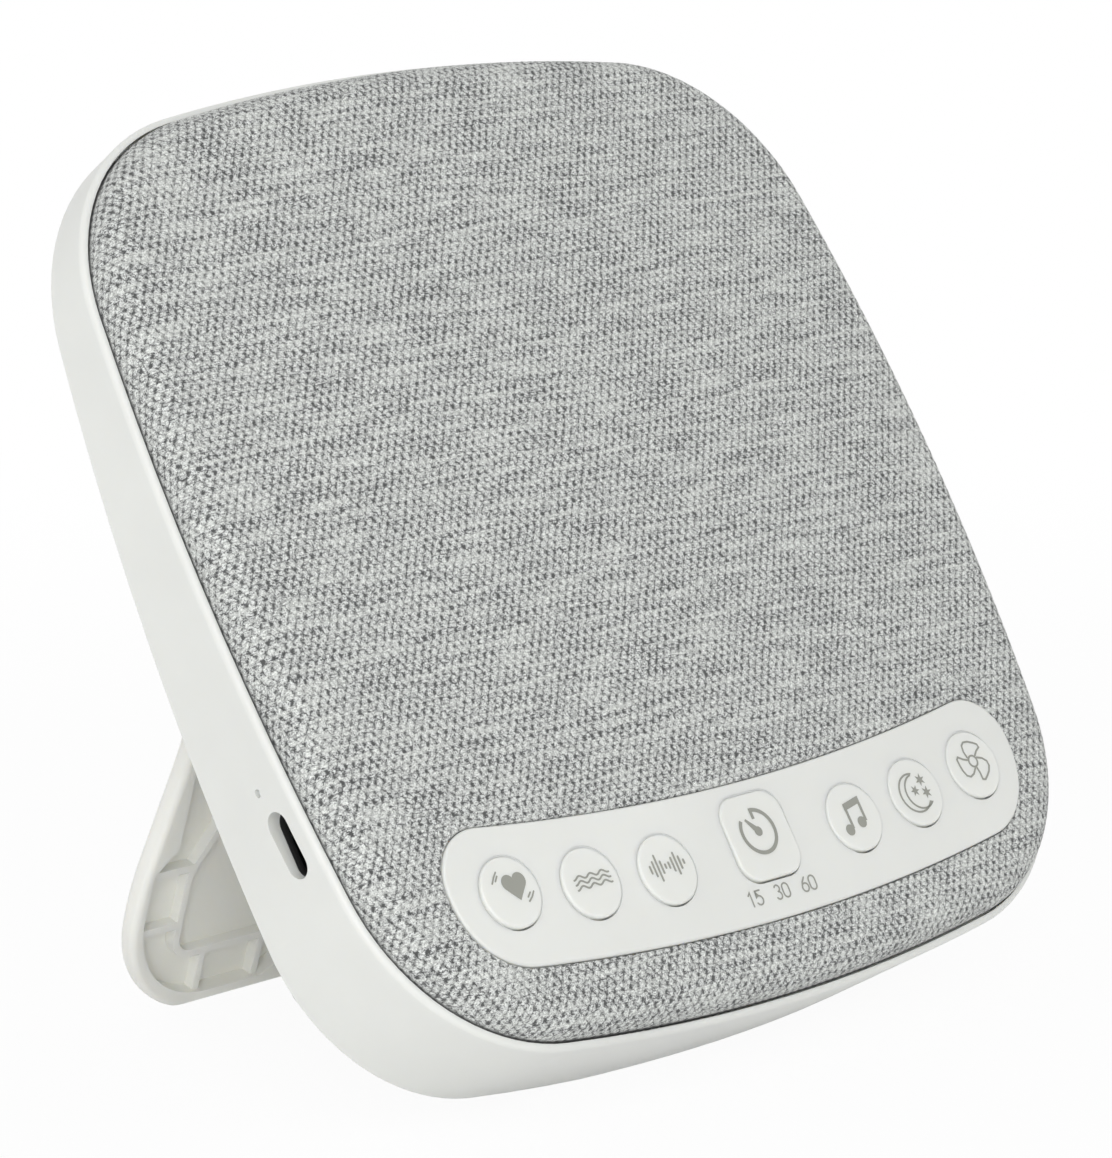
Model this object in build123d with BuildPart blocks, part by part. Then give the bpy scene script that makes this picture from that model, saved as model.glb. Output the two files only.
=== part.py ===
from build123d import *
from math import cos, radians, sin, sqrt, tan
import os

# Bedside white-noise sound machine: a thin rounded-square speaker with a knitted front, a band of
# keys along its lower edge, and a kickstand hinged on its back.
# Millimetres.  +Z is up, the fabric front looks towards -Y, +X is to the viewer's right.  The
# origin is on the floor, in the middle of the flat that the body stands on.

# ---------------------------------------------------------------- driving dimensions: body
lean = 33.5                     # lean of the front from the vertical, degrees
half_width = 71.0               # fabric front, centre to side
half_height = 71.85             # fabric front, centre to top
side_radius = 413.0             # bow of the left and right sides
end_radius = 335.0              # bow of the top and bottom
corner_radius = 29.6            # corners of the fabric front

pad_height = 7.8                # crown of the front above the fabric seam
dome_radius = 1400.0            # sphere that the front follows
pad_edge_radius = 4.0           # rounded edge of the front
fabric_thickness = 0.8
fabric_gap = 0.35               # slot between the fabric and the housing
skin_gap = 0.05                 # between the fabric and the frame it is stretched over

rim_thickness = 1.05            # housing wall where it frames the fabric
lip_height = 0.6                # housing lip above the fabric seam
lip_radius = 0.9
side_draft = 3.5                # the housing narrows towards the back, degrees
housing_wall = 2.0
middle_depth = 13.5             # seam to rear parting line, at mid height
wedge = 6.2                     # the back leans less than the front, degrees
land_depth = 0.7                # how far the bottom edge is cut away to stand flat

ledge_depth = 2.0               # seam to the ledge that the front frame sits on
ledge_thickness = 1.6
ledge_reach = 2.6               # ledge's inner edge, measured in from the fabric outline

# ---------------------------------------------------------------- driving dimensions: rear cover
cover_depth = 5.0               # rear cover behind the parting line
cover_spigot = 1.8              # rear cover inside the housing
cover_wall = 2.0
cover_edge_radius = 4.5
cover_fit = 0.2

# ---------------------------------------------------------------- driving dimensions: kickstand
hinge_drop = 55.25              # hinge axis below the top of the fabric front
splay = 18.0                    # open kickstand from the vertical, degrees
stand_side_margin = 20.6        # kickstand's side, in from the fabric outline
waist_inset = 3.8               # arms are narrower than the foot by this much on each side
waist_top = 44.0                # height above the foot where the arms begin to widen
waist_bottom = 22.0
waist_radius = 40.0
stand_thickness = 4.0
stand_floor = 1.4
stand_corner_radius = 17.5
stand_outer_radius = 2.4        # rounding of the outside edges
stand_inner_radius = 1.0        # rounding of the edges towards the body
barrel_radius = 2.75
arm_width = 1.7                 # border of the kickstand's pocket along the arms
border_width = 1.8              # border along the foot's sides
shoulder_height = 28.2          # height above the foot where the pocket widens
foot_border = 2.0
tab_half_width = 22.5           # raised middle of the foot border
tab_rise = 3.0
tab_slope = 6.0
hinge_border = 9.0
pocket_corner_radius = 6.0
rib_thickness = 1.2
rib_drop = 0.8                  # ribs end this far below the border
rib_inset = 8.0                 # U-shaped rib, measured in from the border
rib_foot_height = 8.7           # U-shaped rib above the foot
foot_rib_spacing = 11.5
stand_clearance = 0.8           # gap round the folded kickstand
barrel_clearance = 0.5
tub_wall = 1.8
pin_radius = 1.5
pin_grip = 8.0                  # length of hinge pin held in the kickstand
pin_reach = 5.0                 # length of hinge pin in the rear cover
pin_fit = 0.05
notch_width = 18.0              # finger notch below the folded kickstand
shoulder_rib_height = 23.7      # short side ribs, measured up from the foot
low_rib_height = 14.2
foot_rib_count = 7
rib_knee_drop = 5.5             # the U-shaped rib narrows from this far below the shoulder
rib_waist = 4.2                 # it steps in by this much at the arms
rib_step = 7.0                  # height over which it steps in
rib_bend_radius = 3.5

# ---------------------------------------------------------------- driving dimensions: keys
band_end_margin = 13.6          # control panel's end, in from the fabric outline
band_low_margin = 9.25          # its lower edge at the middle, up from the fabric outline
band_height = 20.1
band_curve = 350.0              # radius of the smile-shaped band
band_top_corner = 7.6
band_bottom_corner = 12.0
panel_gap = 0.25
panel_proud = 0.2
panel_edge_radius = 0.4
panel_back = 2.4                # rear face of the panel, above the seam
panel_flange = 1.6
panel_flange_thickness = 0.8

key_spread = 3.9                # space between neighbouring round keys
key_gap = 0.25
key_first = 19.2                # round keys: first one from the middle
key_end_margin = 10.0           # last round key's centre to the end of the panel
key_row_drop = 9.8              # bottom of the arc of round keys, below the panel's upper edge
key_row_radius = 330.0
key_proud = 0.35
key_edge_radius = 0.35
key_flange = 0.9                # retaining flange round the key
key_flange_thickness = 0.8
key_travel = 0.35
key_lift = 3.8                  # underside of the keys, above the seam
timer_width = 12.2
timer_length = 12.6
timer_drop = 8.2                # centre of the timer key below the panel's upper edge
timer_corner = 3.4

# ---------------------------------------------------------------- driving dimensions: electronics
mat_thickness = 0.8
mat_height = 1.5                # underside of the key mat, above the seam
mat_button_radius = 2.2
mat_button_gap = 0.15           # between a pressed key and its button on the mat
key_board_thickness = 1.2
key_board_top = 0.0
board_inset = 1.2
switch_size = 4.6
switch_height = 1.0
plunger_radius = 1.2
numeral_spacing = 5.5
numeral_rise = 3.2              # numerals above the panel's lower edge
guide_radius = 0.9
guide_skin = 0.9                # plastic left over each lit numeral
panel_post_radius = 1.9
small_screw_radius = 1.0
small_head_radius = 1.7
small_head_height = 1.1
small_screw_length = 4.0
screw_slack = 0.05
post_margin = 0.5               # key board's posts, in from the board's edge
guide_wall = 0.4                # light guide's foot, beyond its three stems

main_board_top = -6.2
main_board_thickness = 1.6
board_side_gap = 5.0            # board's end, in from the fabric outline
board_low_gap = 26.35           # board's lower edge, up from the fabric outline
board_height = 33.5
board_post_end = 8.0            # posts, in from the board's ends
board_post_inset = 4.0          # posts, in from the board's long edges
main_board_corner = 3.0
port_rise = 12.9                # USB-C port, up from the board's lower edge
port_depth = -4.5               # port centre behind the seam
port_recess = 1.4               # port's mouth, inside the fabric outline
port_collar = 1.2               # wall of the collar round the mouth
port_collar_lap = 0.4           # collar reaches this far past the mouth
port_width = 8.94
port_height = 3.26
port_length = 7.3
port_shell = 0.3
port_slot_width = 9.6
port_slot_height = 4.0
led_rise = 8.0                  # charging light above the port
led_depth = -5.3
led_radius = 0.6
led_recess = 1.1                # light pipe's end, inside the housing's side
led_lap = 0.7                   # charging light overlaps the board's end by this much
led_size = 1.7
tongue_thickness = 0.7
tongue_width = 6.7

wheel_radius = 8.0
wheel_thickness = 3.0
wheel_proud = 1.5
wheel_top = -2.4
wheel_gap = 0.4
wheel_axle_radius = 1.6
axle_cap_overhang = 0.6
axle_cap_thickness = 0.25
axle_proud = 0.1                # axle above the wheel's front face
volume_body_radius = 3.8
knurl_count = 32
knurl_radius = 0.45

battery_end_gap = 36.0          # battery's end, in from the board's end
battery_width = 24.0
battery_drop = 12.5             # battery's middle below the board's upper edge
battery_thickness = 6.6
battery_pad = 1.0
battery_pad_margin = 3.0
battery_edge_radius = 1.6

# ---------------------------------------------------------------- driving dimensions: speaker
speaker_drop = 35.85            # speaker centre below the top of the fabric front
speaker_radius = 28.5
speaker_bore = 25.5
gasket_thickness = 1.5
flange_thickness = 1.0
basket_depth = 8.2
basket_floor_radius = 13.5
basket_wall = 1.0
window_width = 6.4              # openings between the basket's arms
window_length = 15.0
window_corner = 2.0
cone_radius = 20.5
cone_depth = 5.0
cone_wall = 0.6
surround_lap = 1.5              # surround glued to the cone's edge
coil_clearance = 0.6
roll_height = 1.2
coil_radius = 6.5
cap_lap = 1.0                   # dust cap reaches this far past the coil
cap_rise = 2.0
magnet_radius = 12.5
magnet_thickness = 2.6
plate_thickness = 1.0
speaker_screw_offset = 21.2
speaker_ear_radius = 3.2
grille_slot_width = 3.0
grille_slot_pitch = 5.5

frame_wall = 1.8
frame_inside = 3.2              # rear face of the front frame behind the fabric, above the seam

# ---------------------------------------------------------------- driving dimensions: case screws
top_screw_side = 19.0           # upper screws, in from the fabric outline
top_screw_drop = 17.85
low_screw_side = 9.5            # lower screws, in from the fabric outline
low_screw_rise = 23.65
case_post_radius = 2.3
case_screw_radius = 1.1
case_head_radius = 2.0
case_head_height = 1.6
case_screw_length = 9.0
post_gap = 0.1

# ---------------------------------------------------------------- places tied to the front's size
hinge_height = half_height - hinge_drop
stand_half_width = half_width - stand_side_margin
arm_half_width = stand_half_width - waist_inset
band_half_width = half_width - band_end_margin
band_bottom = band_low_margin - half_height
band_top = band_bottom + band_height
key_row = band_top - key_row_drop
key_spacing = (band_half_width - key_end_margin - key_first) / 2
key_radius = (key_spacing - key_spread) / 2
timer_centre = band_top - timer_drop
numeral_row = band_bottom + numeral_rise
main_board_half_width = half_width - board_side_gap
board_post_across = main_board_half_width - board_post_end
main_board_bottom_edge = board_low_gap - half_height
main_board_top_edge = main_board_bottom_edge + board_height
port_centre = main_board_bottom_edge + port_rise
led_centre = port_centre + led_rise
wheel_centre = port_centre
battery_length = 2 * (main_board_half_width - battery_end_gap)
battery_centre = main_board_top_edge - battery_drop
speaker_height = half_height - speaker_drop
top_screw_across = half_width - top_screw_side
top_screw_height = half_height - top_screw_drop
low_screw_across = half_width - low_screw_side
low_screw_height = low_screw_rise - half_height

# ---------------------------------------------------------------- planes
lean_sin = sin(radians(lean))
lean_cos = cos(radians(lean))
wall_grow = fabric_gap + rim_thickness
draft_rate = tan(radians(side_draft))
wedge_rate = tan(radians(wedge))

# Lowest point of the body: where the drafted bottom wall meets the tilted rear parting line.
corner_v = draft_rate * (lip_height + middle_depth) - half_height - wall_grow
corner_v = corner_v / (1 + draft_rate * wedge_rate)
corner_w = wedge_rate * corner_v - middle_depth
front_slope = radians(lean - side_draft)
rear_slope = radians(90 - lean + wedge)
land_shift = land_depth * (1 / tan(rear_slope) - 1 / tan(front_slope)) / 2
face_y = corner_w * lean_cos - corner_v * lean_sin - land_shift
face_z = -corner_v * lean_cos - corner_w * lean_sin - land_depth

# `face` is the plane of the fabric seam and `back` that of the rear parting line.  On both, x runs
# to the right, y up the part and z towards its front.
face = Plane(origin=(0, face_y, face_z), x_dir=(1, 0, 0), z_dir=(0, -lean_cos, lean_sin))
back = face.offset(-middle_depth).rotated((wedge, 0, 0))
floor_plane = Plane.XY
forward = Axis(face.origin, face.z_dir)
outward = Axis(back.origin, -back.z_dir)

# `folded` and `opened` share the hinge axis; the kickstand hangs along -y of each.
hinge_inset = cover_depth - stand_thickness / 2
hinge_point = back.from_local_coords((0, hinge_height, -hinge_inset))
open_angle = lean - wedge + splay
folded = Plane(origin=hinge_point, x_dir=(1, 0, 0), z_dir=back.z_dir)
opened = folded.rotated((open_angle, 0, 0))
stand_length = hinge_point.Z / cos(radians(splay))
stand_reach = stand_length + stand_thickness / 2 * tan(radians(splay))

dome_drop = pad_height - dome_radius
mat_button_top = key_lift - key_travel - mat_button_gap


def front_height(across, up):
    """Height of the domed front above the seam, at a point of it."""
    return sqrt(dome_radius**2 - across**2 - up**2) + dome_drop


def face_spot(across, up, height=0.0):
    """A plane parallel to the front, at a point of it."""
    return Plane(
        origin=face.from_local_coords((across, up, height)), x_dir=(1, 0, 0), z_dir=face.z_dir
    )


# ---------------------------------------------------------------- shared outlines
def pillow(grow):
    """Rounded square with bowed sides, moved outwards by `grow`."""
    with BuildSketch() as outline:
        with Locations((half_width - side_radius, 0)):
            Circle(side_radius + grow)
        with Locations((side_radius - half_width, 0)):
            Circle(side_radius + grow, mode=Mode.INTERSECT)
        with Locations((0, half_height - end_radius)):
            Circle(end_radius + grow, mode=Mode.INTERSECT)
        with Locations((0, end_radius - half_height)):
            Circle(end_radius + grow, mode=Mode.INTERSECT)
        fillet(outline.vertices(), radius=corner_radius + grow)
    return outline.sketch


def band(grow):
    """Smile-shaped outline of the control panel, moved outwards by `grow`."""
    with BuildSketch() as outline:
        with Locations((0, band_bottom + band_curve)):
            Circle(band_curve + grow)
        with Locations((0, band_top + band_curve)):
            Circle(band_curve - grow, mode=Mode.SUBTRACT)
        Rectangle(2 * (band_half_width + grow), 2 * half_height, mode=Mode.INTERSECT)
        fillet(outline.vertices().group_by(Axis.Y)[-1], radius=band_top_corner + grow)
        fillet(outline.vertices().group_by(Axis.Y)[0], radius=band_bottom_corner + grow)
    return outline.sketch


def timer_outline(grow):
    """Rounded square of the timer key, moved outwards by `grow`."""
    with BuildSketch() as outline:
        with Locations((0, timer_centre)):
            RectangleRounded(
                timer_width + 2 * grow, timer_length + 2 * grow, timer_corner + grow
            )
    return outline.sketch


def both_sides(right):
    """Closed outline from the points of its right half."""
    Polyline(*right, *[(-across, up) for across, up in reversed(right)], close=True)


def stand_outline(grow, length):
    """Kickstand seen square on, with its hinge axis on the x axis, moved outwards by `grow`."""
    arm = arm_half_width + grow
    wide = stand_half_width + grow
    with BuildSketch() as outline:
        with BuildLine():
            both_sides(
                [
                    (arm, 0),
                    (arm, waist_top - stand_length),
                    (wide, waist_bottom - stand_length),
                    (wide, -length - grow),
                ]
            )
        make_face()
        # waist from the arms to the wider foot, then the foot's corners
        fillet(outline.vertices().group_by(Axis.Y)[2], radius=waist_radius)
        fillet(outline.vertices().group_by(Axis.Y)[1], radius=waist_radius)
        fillet(outline.vertices().group_by(Axis.Y)[0], radius=stand_corner_radius + grow)
    return outline.sketch


def pad_solid(inset):
    """Domed pad with a rounded edge, from the ledge up, moved inwards by `inset`."""
    with BuildPart() as pad:
        with BuildSketch(face.offset(-ledge_depth)):
            add(pillow(-inset))
        extrude(amount=ledge_depth + pad_height + 1)
        with Locations(face.offset(dome_drop)):
            Sphere(dome_radius - inset, rotation=(90, 0, 0), mode=Mode.INTERSECT)
        crown = pad.faces().sort_by(forward)[-1]
        fillet(crown.edges(), radius=pad_edge_radius - inset)
    return pad.part


def cover_solid(inset, spigot):
    """Rear cover as a solid block, from `spigot` inside the housing to its rounded back."""
    with BuildPart() as block:
        with BuildSketch(face.offset(lip_height)):
            add(pillow(wall_grow - housing_wall - cover_fit - inset))
        extrude(amount=-3 * middle_depth, taper=side_draft)
        split(bisect_by=back.offset(spigot), keep=Keep.BOTTOM)
        split(bisect_by=back.offset(inset - cover_depth), keep=Keep.TOP)
        rear = block.faces().sort_by(outward)[-1]
        fillet(rear.edges(), radius=cover_edge_radius - inset)
    return block.part


def side_edge(up):
    """Distance from the middle to the side of the fabric outline, at a height on the front."""
    return half_width - side_radius + sqrt(side_radius**2 - up**2)


def left_wall(up, height):
    """A plane on the left side of the fabric outline, looking outwards, its x up the side."""
    return Plane(
        origin=face.from_local_coords((-side_edge(up), up, height)),
        x_dir=face.y_dir,
        z_dir=(-1, 0, 0),
    )


def seat_depth(up):
    """Height, above the seam, of the seat under a case screw's head."""
    rear = wedge_rate * up - middle_depth - cover_depth / cos(radians(wedge))
    return rear + case_head_height + 4 * screw_slack


def save(builder, name):
    """Label a finished piece and write it to its own file."""
    builder.part.label = name
    export_step(builder.part, "parts/" + name + ".step")


os.makedirs("parts", exist_ok=True)

key_places = []
for place in range(3):
    across = key_first + place * key_spacing
    up = key_row + across**2 / (2 * key_row_radius)
    key_places.append((across, up))
    key_places.append((-across, up))
key_places.sort()
key_names = [
    "key_heartbeat",
    "key_waves",
    "key_white_noise",
    "key_music",
    "key_night",
    "key_fan",
]
post_inset = board_inset + panel_post_radius + post_margin
upper_post = key_first + key_spacing / 2
lower_post = key_first + key_spacing * 3 / 2
post_places = [
    (upper_post, band_top + upper_post**2 / (2 * band_curve) - post_inset),
    (lower_post, band_bottom + lower_post**2 / (2 * band_curve) + post_inset),
]
post_places += [(-across, up) for across, up in post_places]
case_screws = [
    (top_screw_across, top_screw_height),
    (-top_screw_across, top_screw_height),
    (low_screw_across, low_screw_height),
    (-low_screw_across, low_screw_height),
]
board_screws = [
    (side * board_post_across, edge)
    for side in (-1, 1)
    for edge in (main_board_top_edge - board_post_inset, main_board_bottom_edge + board_post_inset)
]
numeral_places = [
    (-numeral_spacing, numeral_row),
    (0, numeral_row),
    (numeral_spacing, numeral_row),
]
speaker_screws = [
    (side * speaker_screw_offset, speaker_height + end * speaker_screw_offset)
    for side in (-1, 1)
    for end in (-1, 1)
]
wheel_across = side_edge(wheel_centre) + wall_grow + wheel_proud - wheel_radius
wheel_bottom = wheel_top - wheel_thickness

# ---------------------------------------------------------------- front housing
with BuildPart() as front_housing:
    with BuildSketch(face.offset(lip_height)):
        add(pillow(wall_grow))
    extrude(amount=-3 * middle_depth, taper=side_draft)
    split(bisect_by=back, keep=Keep.TOP)
    # rear hollow, tapered like the outside, up to the ledge
    with BuildSketch(face.offset(lip_height)):
        add(pillow(wall_grow - housing_wall))
    extrude(amount=-3 * middle_depth, taper=side_draft, mode=Mode.SUBTRACT)
    with BuildSketch(face.offset(lip_height)):
        add(pillow(wall_grow - housing_wall / 2))
        add(pillow(-ledge_reach), mode=Mode.SUBTRACT)
    extrude(amount=-(lip_height + ledge_depth + ledge_thickness))
    # collar round the charging port
    with BuildSketch(left_wall(port_centre, port_depth).offset(-port_recess - port_collar_lap)):
        SlotOverall(port_slot_width + 2 * port_collar, port_slot_height + 2 * port_collar)
    extrude(amount=port_recess + port_collar_lap)
    # front opening for the fabric, down to the ledge
    with BuildSketch(face.offset(lip_height)):
        add(pillow(fabric_gap))
    extrude(amount=-(lip_height + ledge_depth), mode=Mode.SUBTRACT)
    lip = front_housing.faces().sort_by(forward)[-1]
    fillet(lip.outer_wire().edges(), radius=lip_radius)
    # flat that the body stands on
    split(bisect_by=floor_plane, keep=Keep.TOP)
    # openings in the side walls: charging port, charging light, volume wheel
    with BuildSketch(left_wall(port_centre, port_depth).offset(2 * wall_grow)):
        SlotOverall(port_slot_width, port_slot_height)
    extrude(amount=-(2 * wall_grow + housing_wall + ledge_reach), mode=Mode.SUBTRACT)
    with BuildSketch(left_wall(led_centre, led_depth).offset(2 * wall_grow)):
        Circle(led_radius)
    extrude(amount=-(2 * wall_grow + housing_wall + ledge_reach), mode=Mode.SUBTRACT)
    with BuildSketch(face_spot(wheel_across, wheel_centre, wheel_top + wheel_gap)):
        Circle(wheel_radius + wheel_gap)
    extrude(amount=-(wheel_thickness + 2 * wheel_gap), mode=Mode.SUBTRACT)
save(front_housing, "front_housing")

# ---------------------------------------------------------------- fabric cover
with BuildPart() as fabric_cover:
    add(pad_solid(0))
    add(pad_solid(fabric_thickness), mode=Mode.SUBTRACT)
    with BuildSketch(face):
        add(band(panel_gap))
    extrude(amount=2 * pad_height, mode=Mode.SUBTRACT)
save(fabric_cover, "fabric_cover")

# ---------------------------------------------------------------- front frame
with BuildPart() as front_frame:
    add(pad_solid(fabric_thickness + skin_gap))
    with BuildSketch(face.offset(-ledge_depth)):
        add(pillow(-fabric_thickness - frame_wall))
    extrude(amount=ledge_depth + frame_inside, mode=Mode.SUBTRACT)
    with BuildSketch(face):
        add(band(panel_gap + fabric_thickness))
    extrude(amount=2 * pad_height, mode=Mode.SUBTRACT)
    # sound slots in front of the speaker
    slot_circle = speaker_bore - grille_slot_width / 2
    slot_steps = int(slot_circle / grille_slot_pitch)
    with BuildSketch(face_spot(0, speaker_height, frame_inside)):
        for step in range(-slot_steps, slot_steps + 1):
            half_chord = sqrt(slot_circle**2 - (step * grille_slot_pitch) ** 2)
            with Locations((step * grille_slot_pitch, 0)):
                SlotOverall(2 * half_chord, grille_slot_width, rotation=90)
    extrude(amount=pad_height, mode=Mode.SUBTRACT)
    # posts that take the case screws, down to the rear cover's bosses
    with BuildSketch(face.offset(frame_inside)):
        with Locations(*case_screws):
            Circle(case_post_radius)
    extrude(amount=-(frame_inside + middle_depth + cover_depth))
    split(bisect_by=back.offset(cover_spigot + post_gap), keep=Keep.TOP)
    with BuildSketch(face.offset(frame_inside)):
        with Locations(*case_screws):
            Circle(case_screw_radius + screw_slack)
    extrude(amount=-(frame_inside + middle_depth + cover_depth), mode=Mode.SUBTRACT)
    with BuildSketch(face.offset(frame_inside)):
        with Locations(*speaker_screws):
            Circle(small_screw_radius + screw_slack)
    extrude(amount=small_screw_length - gasket_thickness, mode=Mode.SUBTRACT)
save(front_frame, "front_frame")

# ---------------------------------------------------------------- control panel
with BuildPart() as control_panel:
    with BuildSketch(face.offset(panel_back)):
        add(band(0))
    extrude(amount=pad_height)
    with Locations(face.offset(dome_drop)):
        Sphere(dome_radius + panel_proud, rotation=(90, 0, 0), mode=Mode.INTERSECT)
    panel_top = control_panel.faces().sort_by(forward)[-1]
    fillet(panel_top.edges(), radius=panel_edge_radius)
    with BuildSketch(face.offset(panel_back)):
        add(band(panel_flange))
    extrude(amount=panel_flange_thickness)
    # openings and flange pockets of the keys
    with BuildSketch(face.offset(panel_back)):
        with Locations(*key_places):
            Circle(key_radius + key_gap)
        add(timer_outline(key_gap))
    extrude(amount=pad_height, mode=Mode.SUBTRACT)
    with BuildSketch(face.offset(panel_back)):
        with Locations(*key_places):
            Circle(key_radius + key_flange + key_gap)
        add(timer_outline(key_flange + key_gap))
    extrude(
        amount=key_lift + key_flange_thickness - panel_back, mode=Mode.SUBTRACT
    )
    # blind bores that bring light up behind the three numerals
    for across, up in numeral_places:
        with BuildSketch(face_spot(across, up, panel_back)):
            Circle(guide_radius + key_gap / 2)
        extrude(amount=front_height(across, up) - guide_skin - panel_back, mode=Mode.SUBTRACT)
    # posts for the key board
    with BuildSketch(face.offset(panel_back)):
        with Locations(*post_places):
            Circle(panel_post_radius)
    extrude(amount=-(panel_back - key_board_top))
    with BuildSketch(face.offset(key_board_top)):
        with Locations(*post_places):
            Circle(small_screw_radius + screw_slack)
    extrude(amount=small_screw_length, mode=Mode.SUBTRACT)
save(control_panel, "control_panel")

# ---------------------------------------------------------------- keys
for name, (across, up) in zip(key_names, key_places):
    key_top = front_height(across, up) + panel_proud + key_proud
    with BuildPart() as key:
        with BuildSketch(face_spot(across, up, key_lift)):
            Circle(key_radius)
        extrude(amount=key_top - key_lift)
        fillet(key.edges().sort_by(forward)[-1], radius=key_edge_radius)
        with BuildSketch(face_spot(across, up, key_lift)):
            Circle(key_radius + key_flange)
        extrude(amount=key_flange_thickness - screw_slack)
    save(key, name)

with BuildPart() as key_timer:
    with BuildSketch(face.offset(key_lift)):
        add(timer_outline(0))
    extrude(amount=front_height(0, timer_centre) + panel_proud + key_proud - key_lift)
    timer_top = key_timer.faces().sort_by(forward)[-1]
    fillet(timer_top.edges(), radius=key_edge_radius)
    with BuildSketch(face.offset(key_lift)):
        add(timer_outline(key_flange))
    extrude(amount=key_flange_thickness - screw_slack)
save(key_timer, "key_timer")

# ---------------------------------------------------------------- key mat, key board, switches
all_keys = key_places + [(0, timer_centre)]
with BuildPart() as key_mat:
    with BuildSketch(face.offset(mat_height)):
        add(band(-board_inset))
    extrude(amount=mat_thickness)
    with BuildSketch(face.offset(mat_height)):
        with Locations(*all_keys):
            Circle(mat_button_radius)
    extrude(amount=mat_button_top - mat_height)
    with BuildSketch(face.offset(mat_height)):
        with Locations(*post_places):
            Circle(panel_post_radius + key_gap)
        with Locations((0, numeral_row)):
            SlotOverall(
                2 * (numeral_spacing + guide_radius + key_gap + guide_wall),
                2 * (guide_radius + key_gap + guide_wall),
            )
    extrude(amount=mat_thickness, mode=Mode.SUBTRACT)
save(key_mat, "key_mat")

with BuildPart() as key_board:
    with BuildSketch(face.offset(key_board_top)):
        add(band(-board_inset))
        with Locations(*post_places):
            Circle(small_screw_radius + key_gap, mode=Mode.SUBTRACT)
    extrude(amount=-key_board_thickness)
save(key_board, "key_board")

with BuildPart() as key_switches:
    with BuildSketch(face.offset(key_board_top)):
        with Locations(*all_keys):
            Rectangle(switch_size, switch_size)
    extrude(amount=switch_height)
    with BuildSketch(face.offset(key_board_top)):
        with Locations(*all_keys):
            Circle(plunger_radius)
    extrude(amount=mat_height - key_board_top)
save(key_switches, "key_switches")

with BuildPart() as timer_light_guide:
    with BuildSketch(face.offset(key_board_top)):
        with Locations((0, numeral_row)):
            SlotOverall(
                2 * (numeral_spacing + guide_radius + guide_wall),
                2 * (guide_radius + guide_wall),
            )
    extrude(amount=mat_height)
    for across, up in numeral_places:
        guide_top = front_height(across, up) - guide_skin - key_gap
        with BuildSketch(face_spot(across, up, key_board_top)):
            Circle(guide_radius)
        extrude(amount=guide_top - key_board_top)
save(timer_light_guide, "timer_light_guide")

with BuildPart() as key_board_screws:
    with BuildSketch(face.offset(key_board_top - key_board_thickness)):
        with Locations(*post_places):
            Circle(small_head_radius)
    extrude(amount=-small_head_height)
    with BuildSketch(face.offset(key_board_top - key_board_thickness)):
        with Locations(*post_places):
            Circle(small_screw_radius)
    extrude(amount=small_screw_length)
save(key_board_screws, "key_board_screws")

# ---------------------------------------------------------------- speaker
gasket_back = frame_inside - gasket_thickness
flange_back = gasket_back - flange_thickness
basket_back = gasket_back - basket_depth
speaker_spot = face.from_local_coords((0, speaker_height, 0))
speaker_section = Plane(origin=speaker_spot, x_dir=(1, 0, 0), z_dir=-face.y_dir)
speaker_axis = Axis(speaker_spot, face.z_dir)
window_offset = (basket_floor_radius + speaker_bore + basket_wall) / 2

with BuildPart() as speaker_gasket:
    with BuildSketch(face_spot(0, speaker_height, gasket_back)):
        Circle(speaker_radius)
        Circle(speaker_bore, mode=Mode.SUBTRACT)
    extrude(amount=gasket_thickness)
save(speaker_gasket, "speaker_gasket")

with BuildPart() as speaker_basket:
    with BuildSketch(speaker_section):
        with BuildLine():
            Polyline(
                (coil_radius + surround_lap, basket_back),
                (basket_floor_radius, basket_back),
                (speaker_bore - basket_wall, flange_back),
                (speaker_radius, flange_back),
                (speaker_radius, gasket_back),
                (speaker_bore - 2 * basket_wall, gasket_back),
                (basket_floor_radius - basket_wall, basket_back + basket_wall),
                (coil_radius + surround_lap, basket_back + basket_wall),
                close=True,
            )
        make_face()
    revolve(axis=speaker_axis)
    # windows between the basket's arms
    with BuildSketch(face_spot(0, speaker_height, flange_back - basket_wall)):
        with PolarLocations(window_offset, 4, start_angle=45):
            RectangleRounded(window_width, window_length, window_corner)
    extrude(amount=-basket_depth, mode=Mode.SUBTRACT)
    # ears for the four screws
    with BuildSketch(face_spot(0, speaker_height, flange_back)):
        with PolarLocations(speaker_screw_offset * sqrt(2), 4, start_angle=45):
            Circle(speaker_ear_radius)
        Circle(speaker_bore, mode=Mode.SUBTRACT)
        with PolarLocations(speaker_screw_offset * sqrt(2), 4, start_angle=45):
            Circle(small_screw_radius + key_gap, mode=Mode.SUBTRACT)
    extrude(amount=flange_thickness)
    with BuildSketch(face_spot(0, speaker_height, flange_back)):
        with PolarLocations(speaker_screw_offset * sqrt(2), 4, start_angle=45):
            Circle(small_screw_radius + key_gap)
    extrude(amount=flange_thickness, mode=Mode.SUBTRACT)
save(speaker_basket, "speaker_basket")

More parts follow.
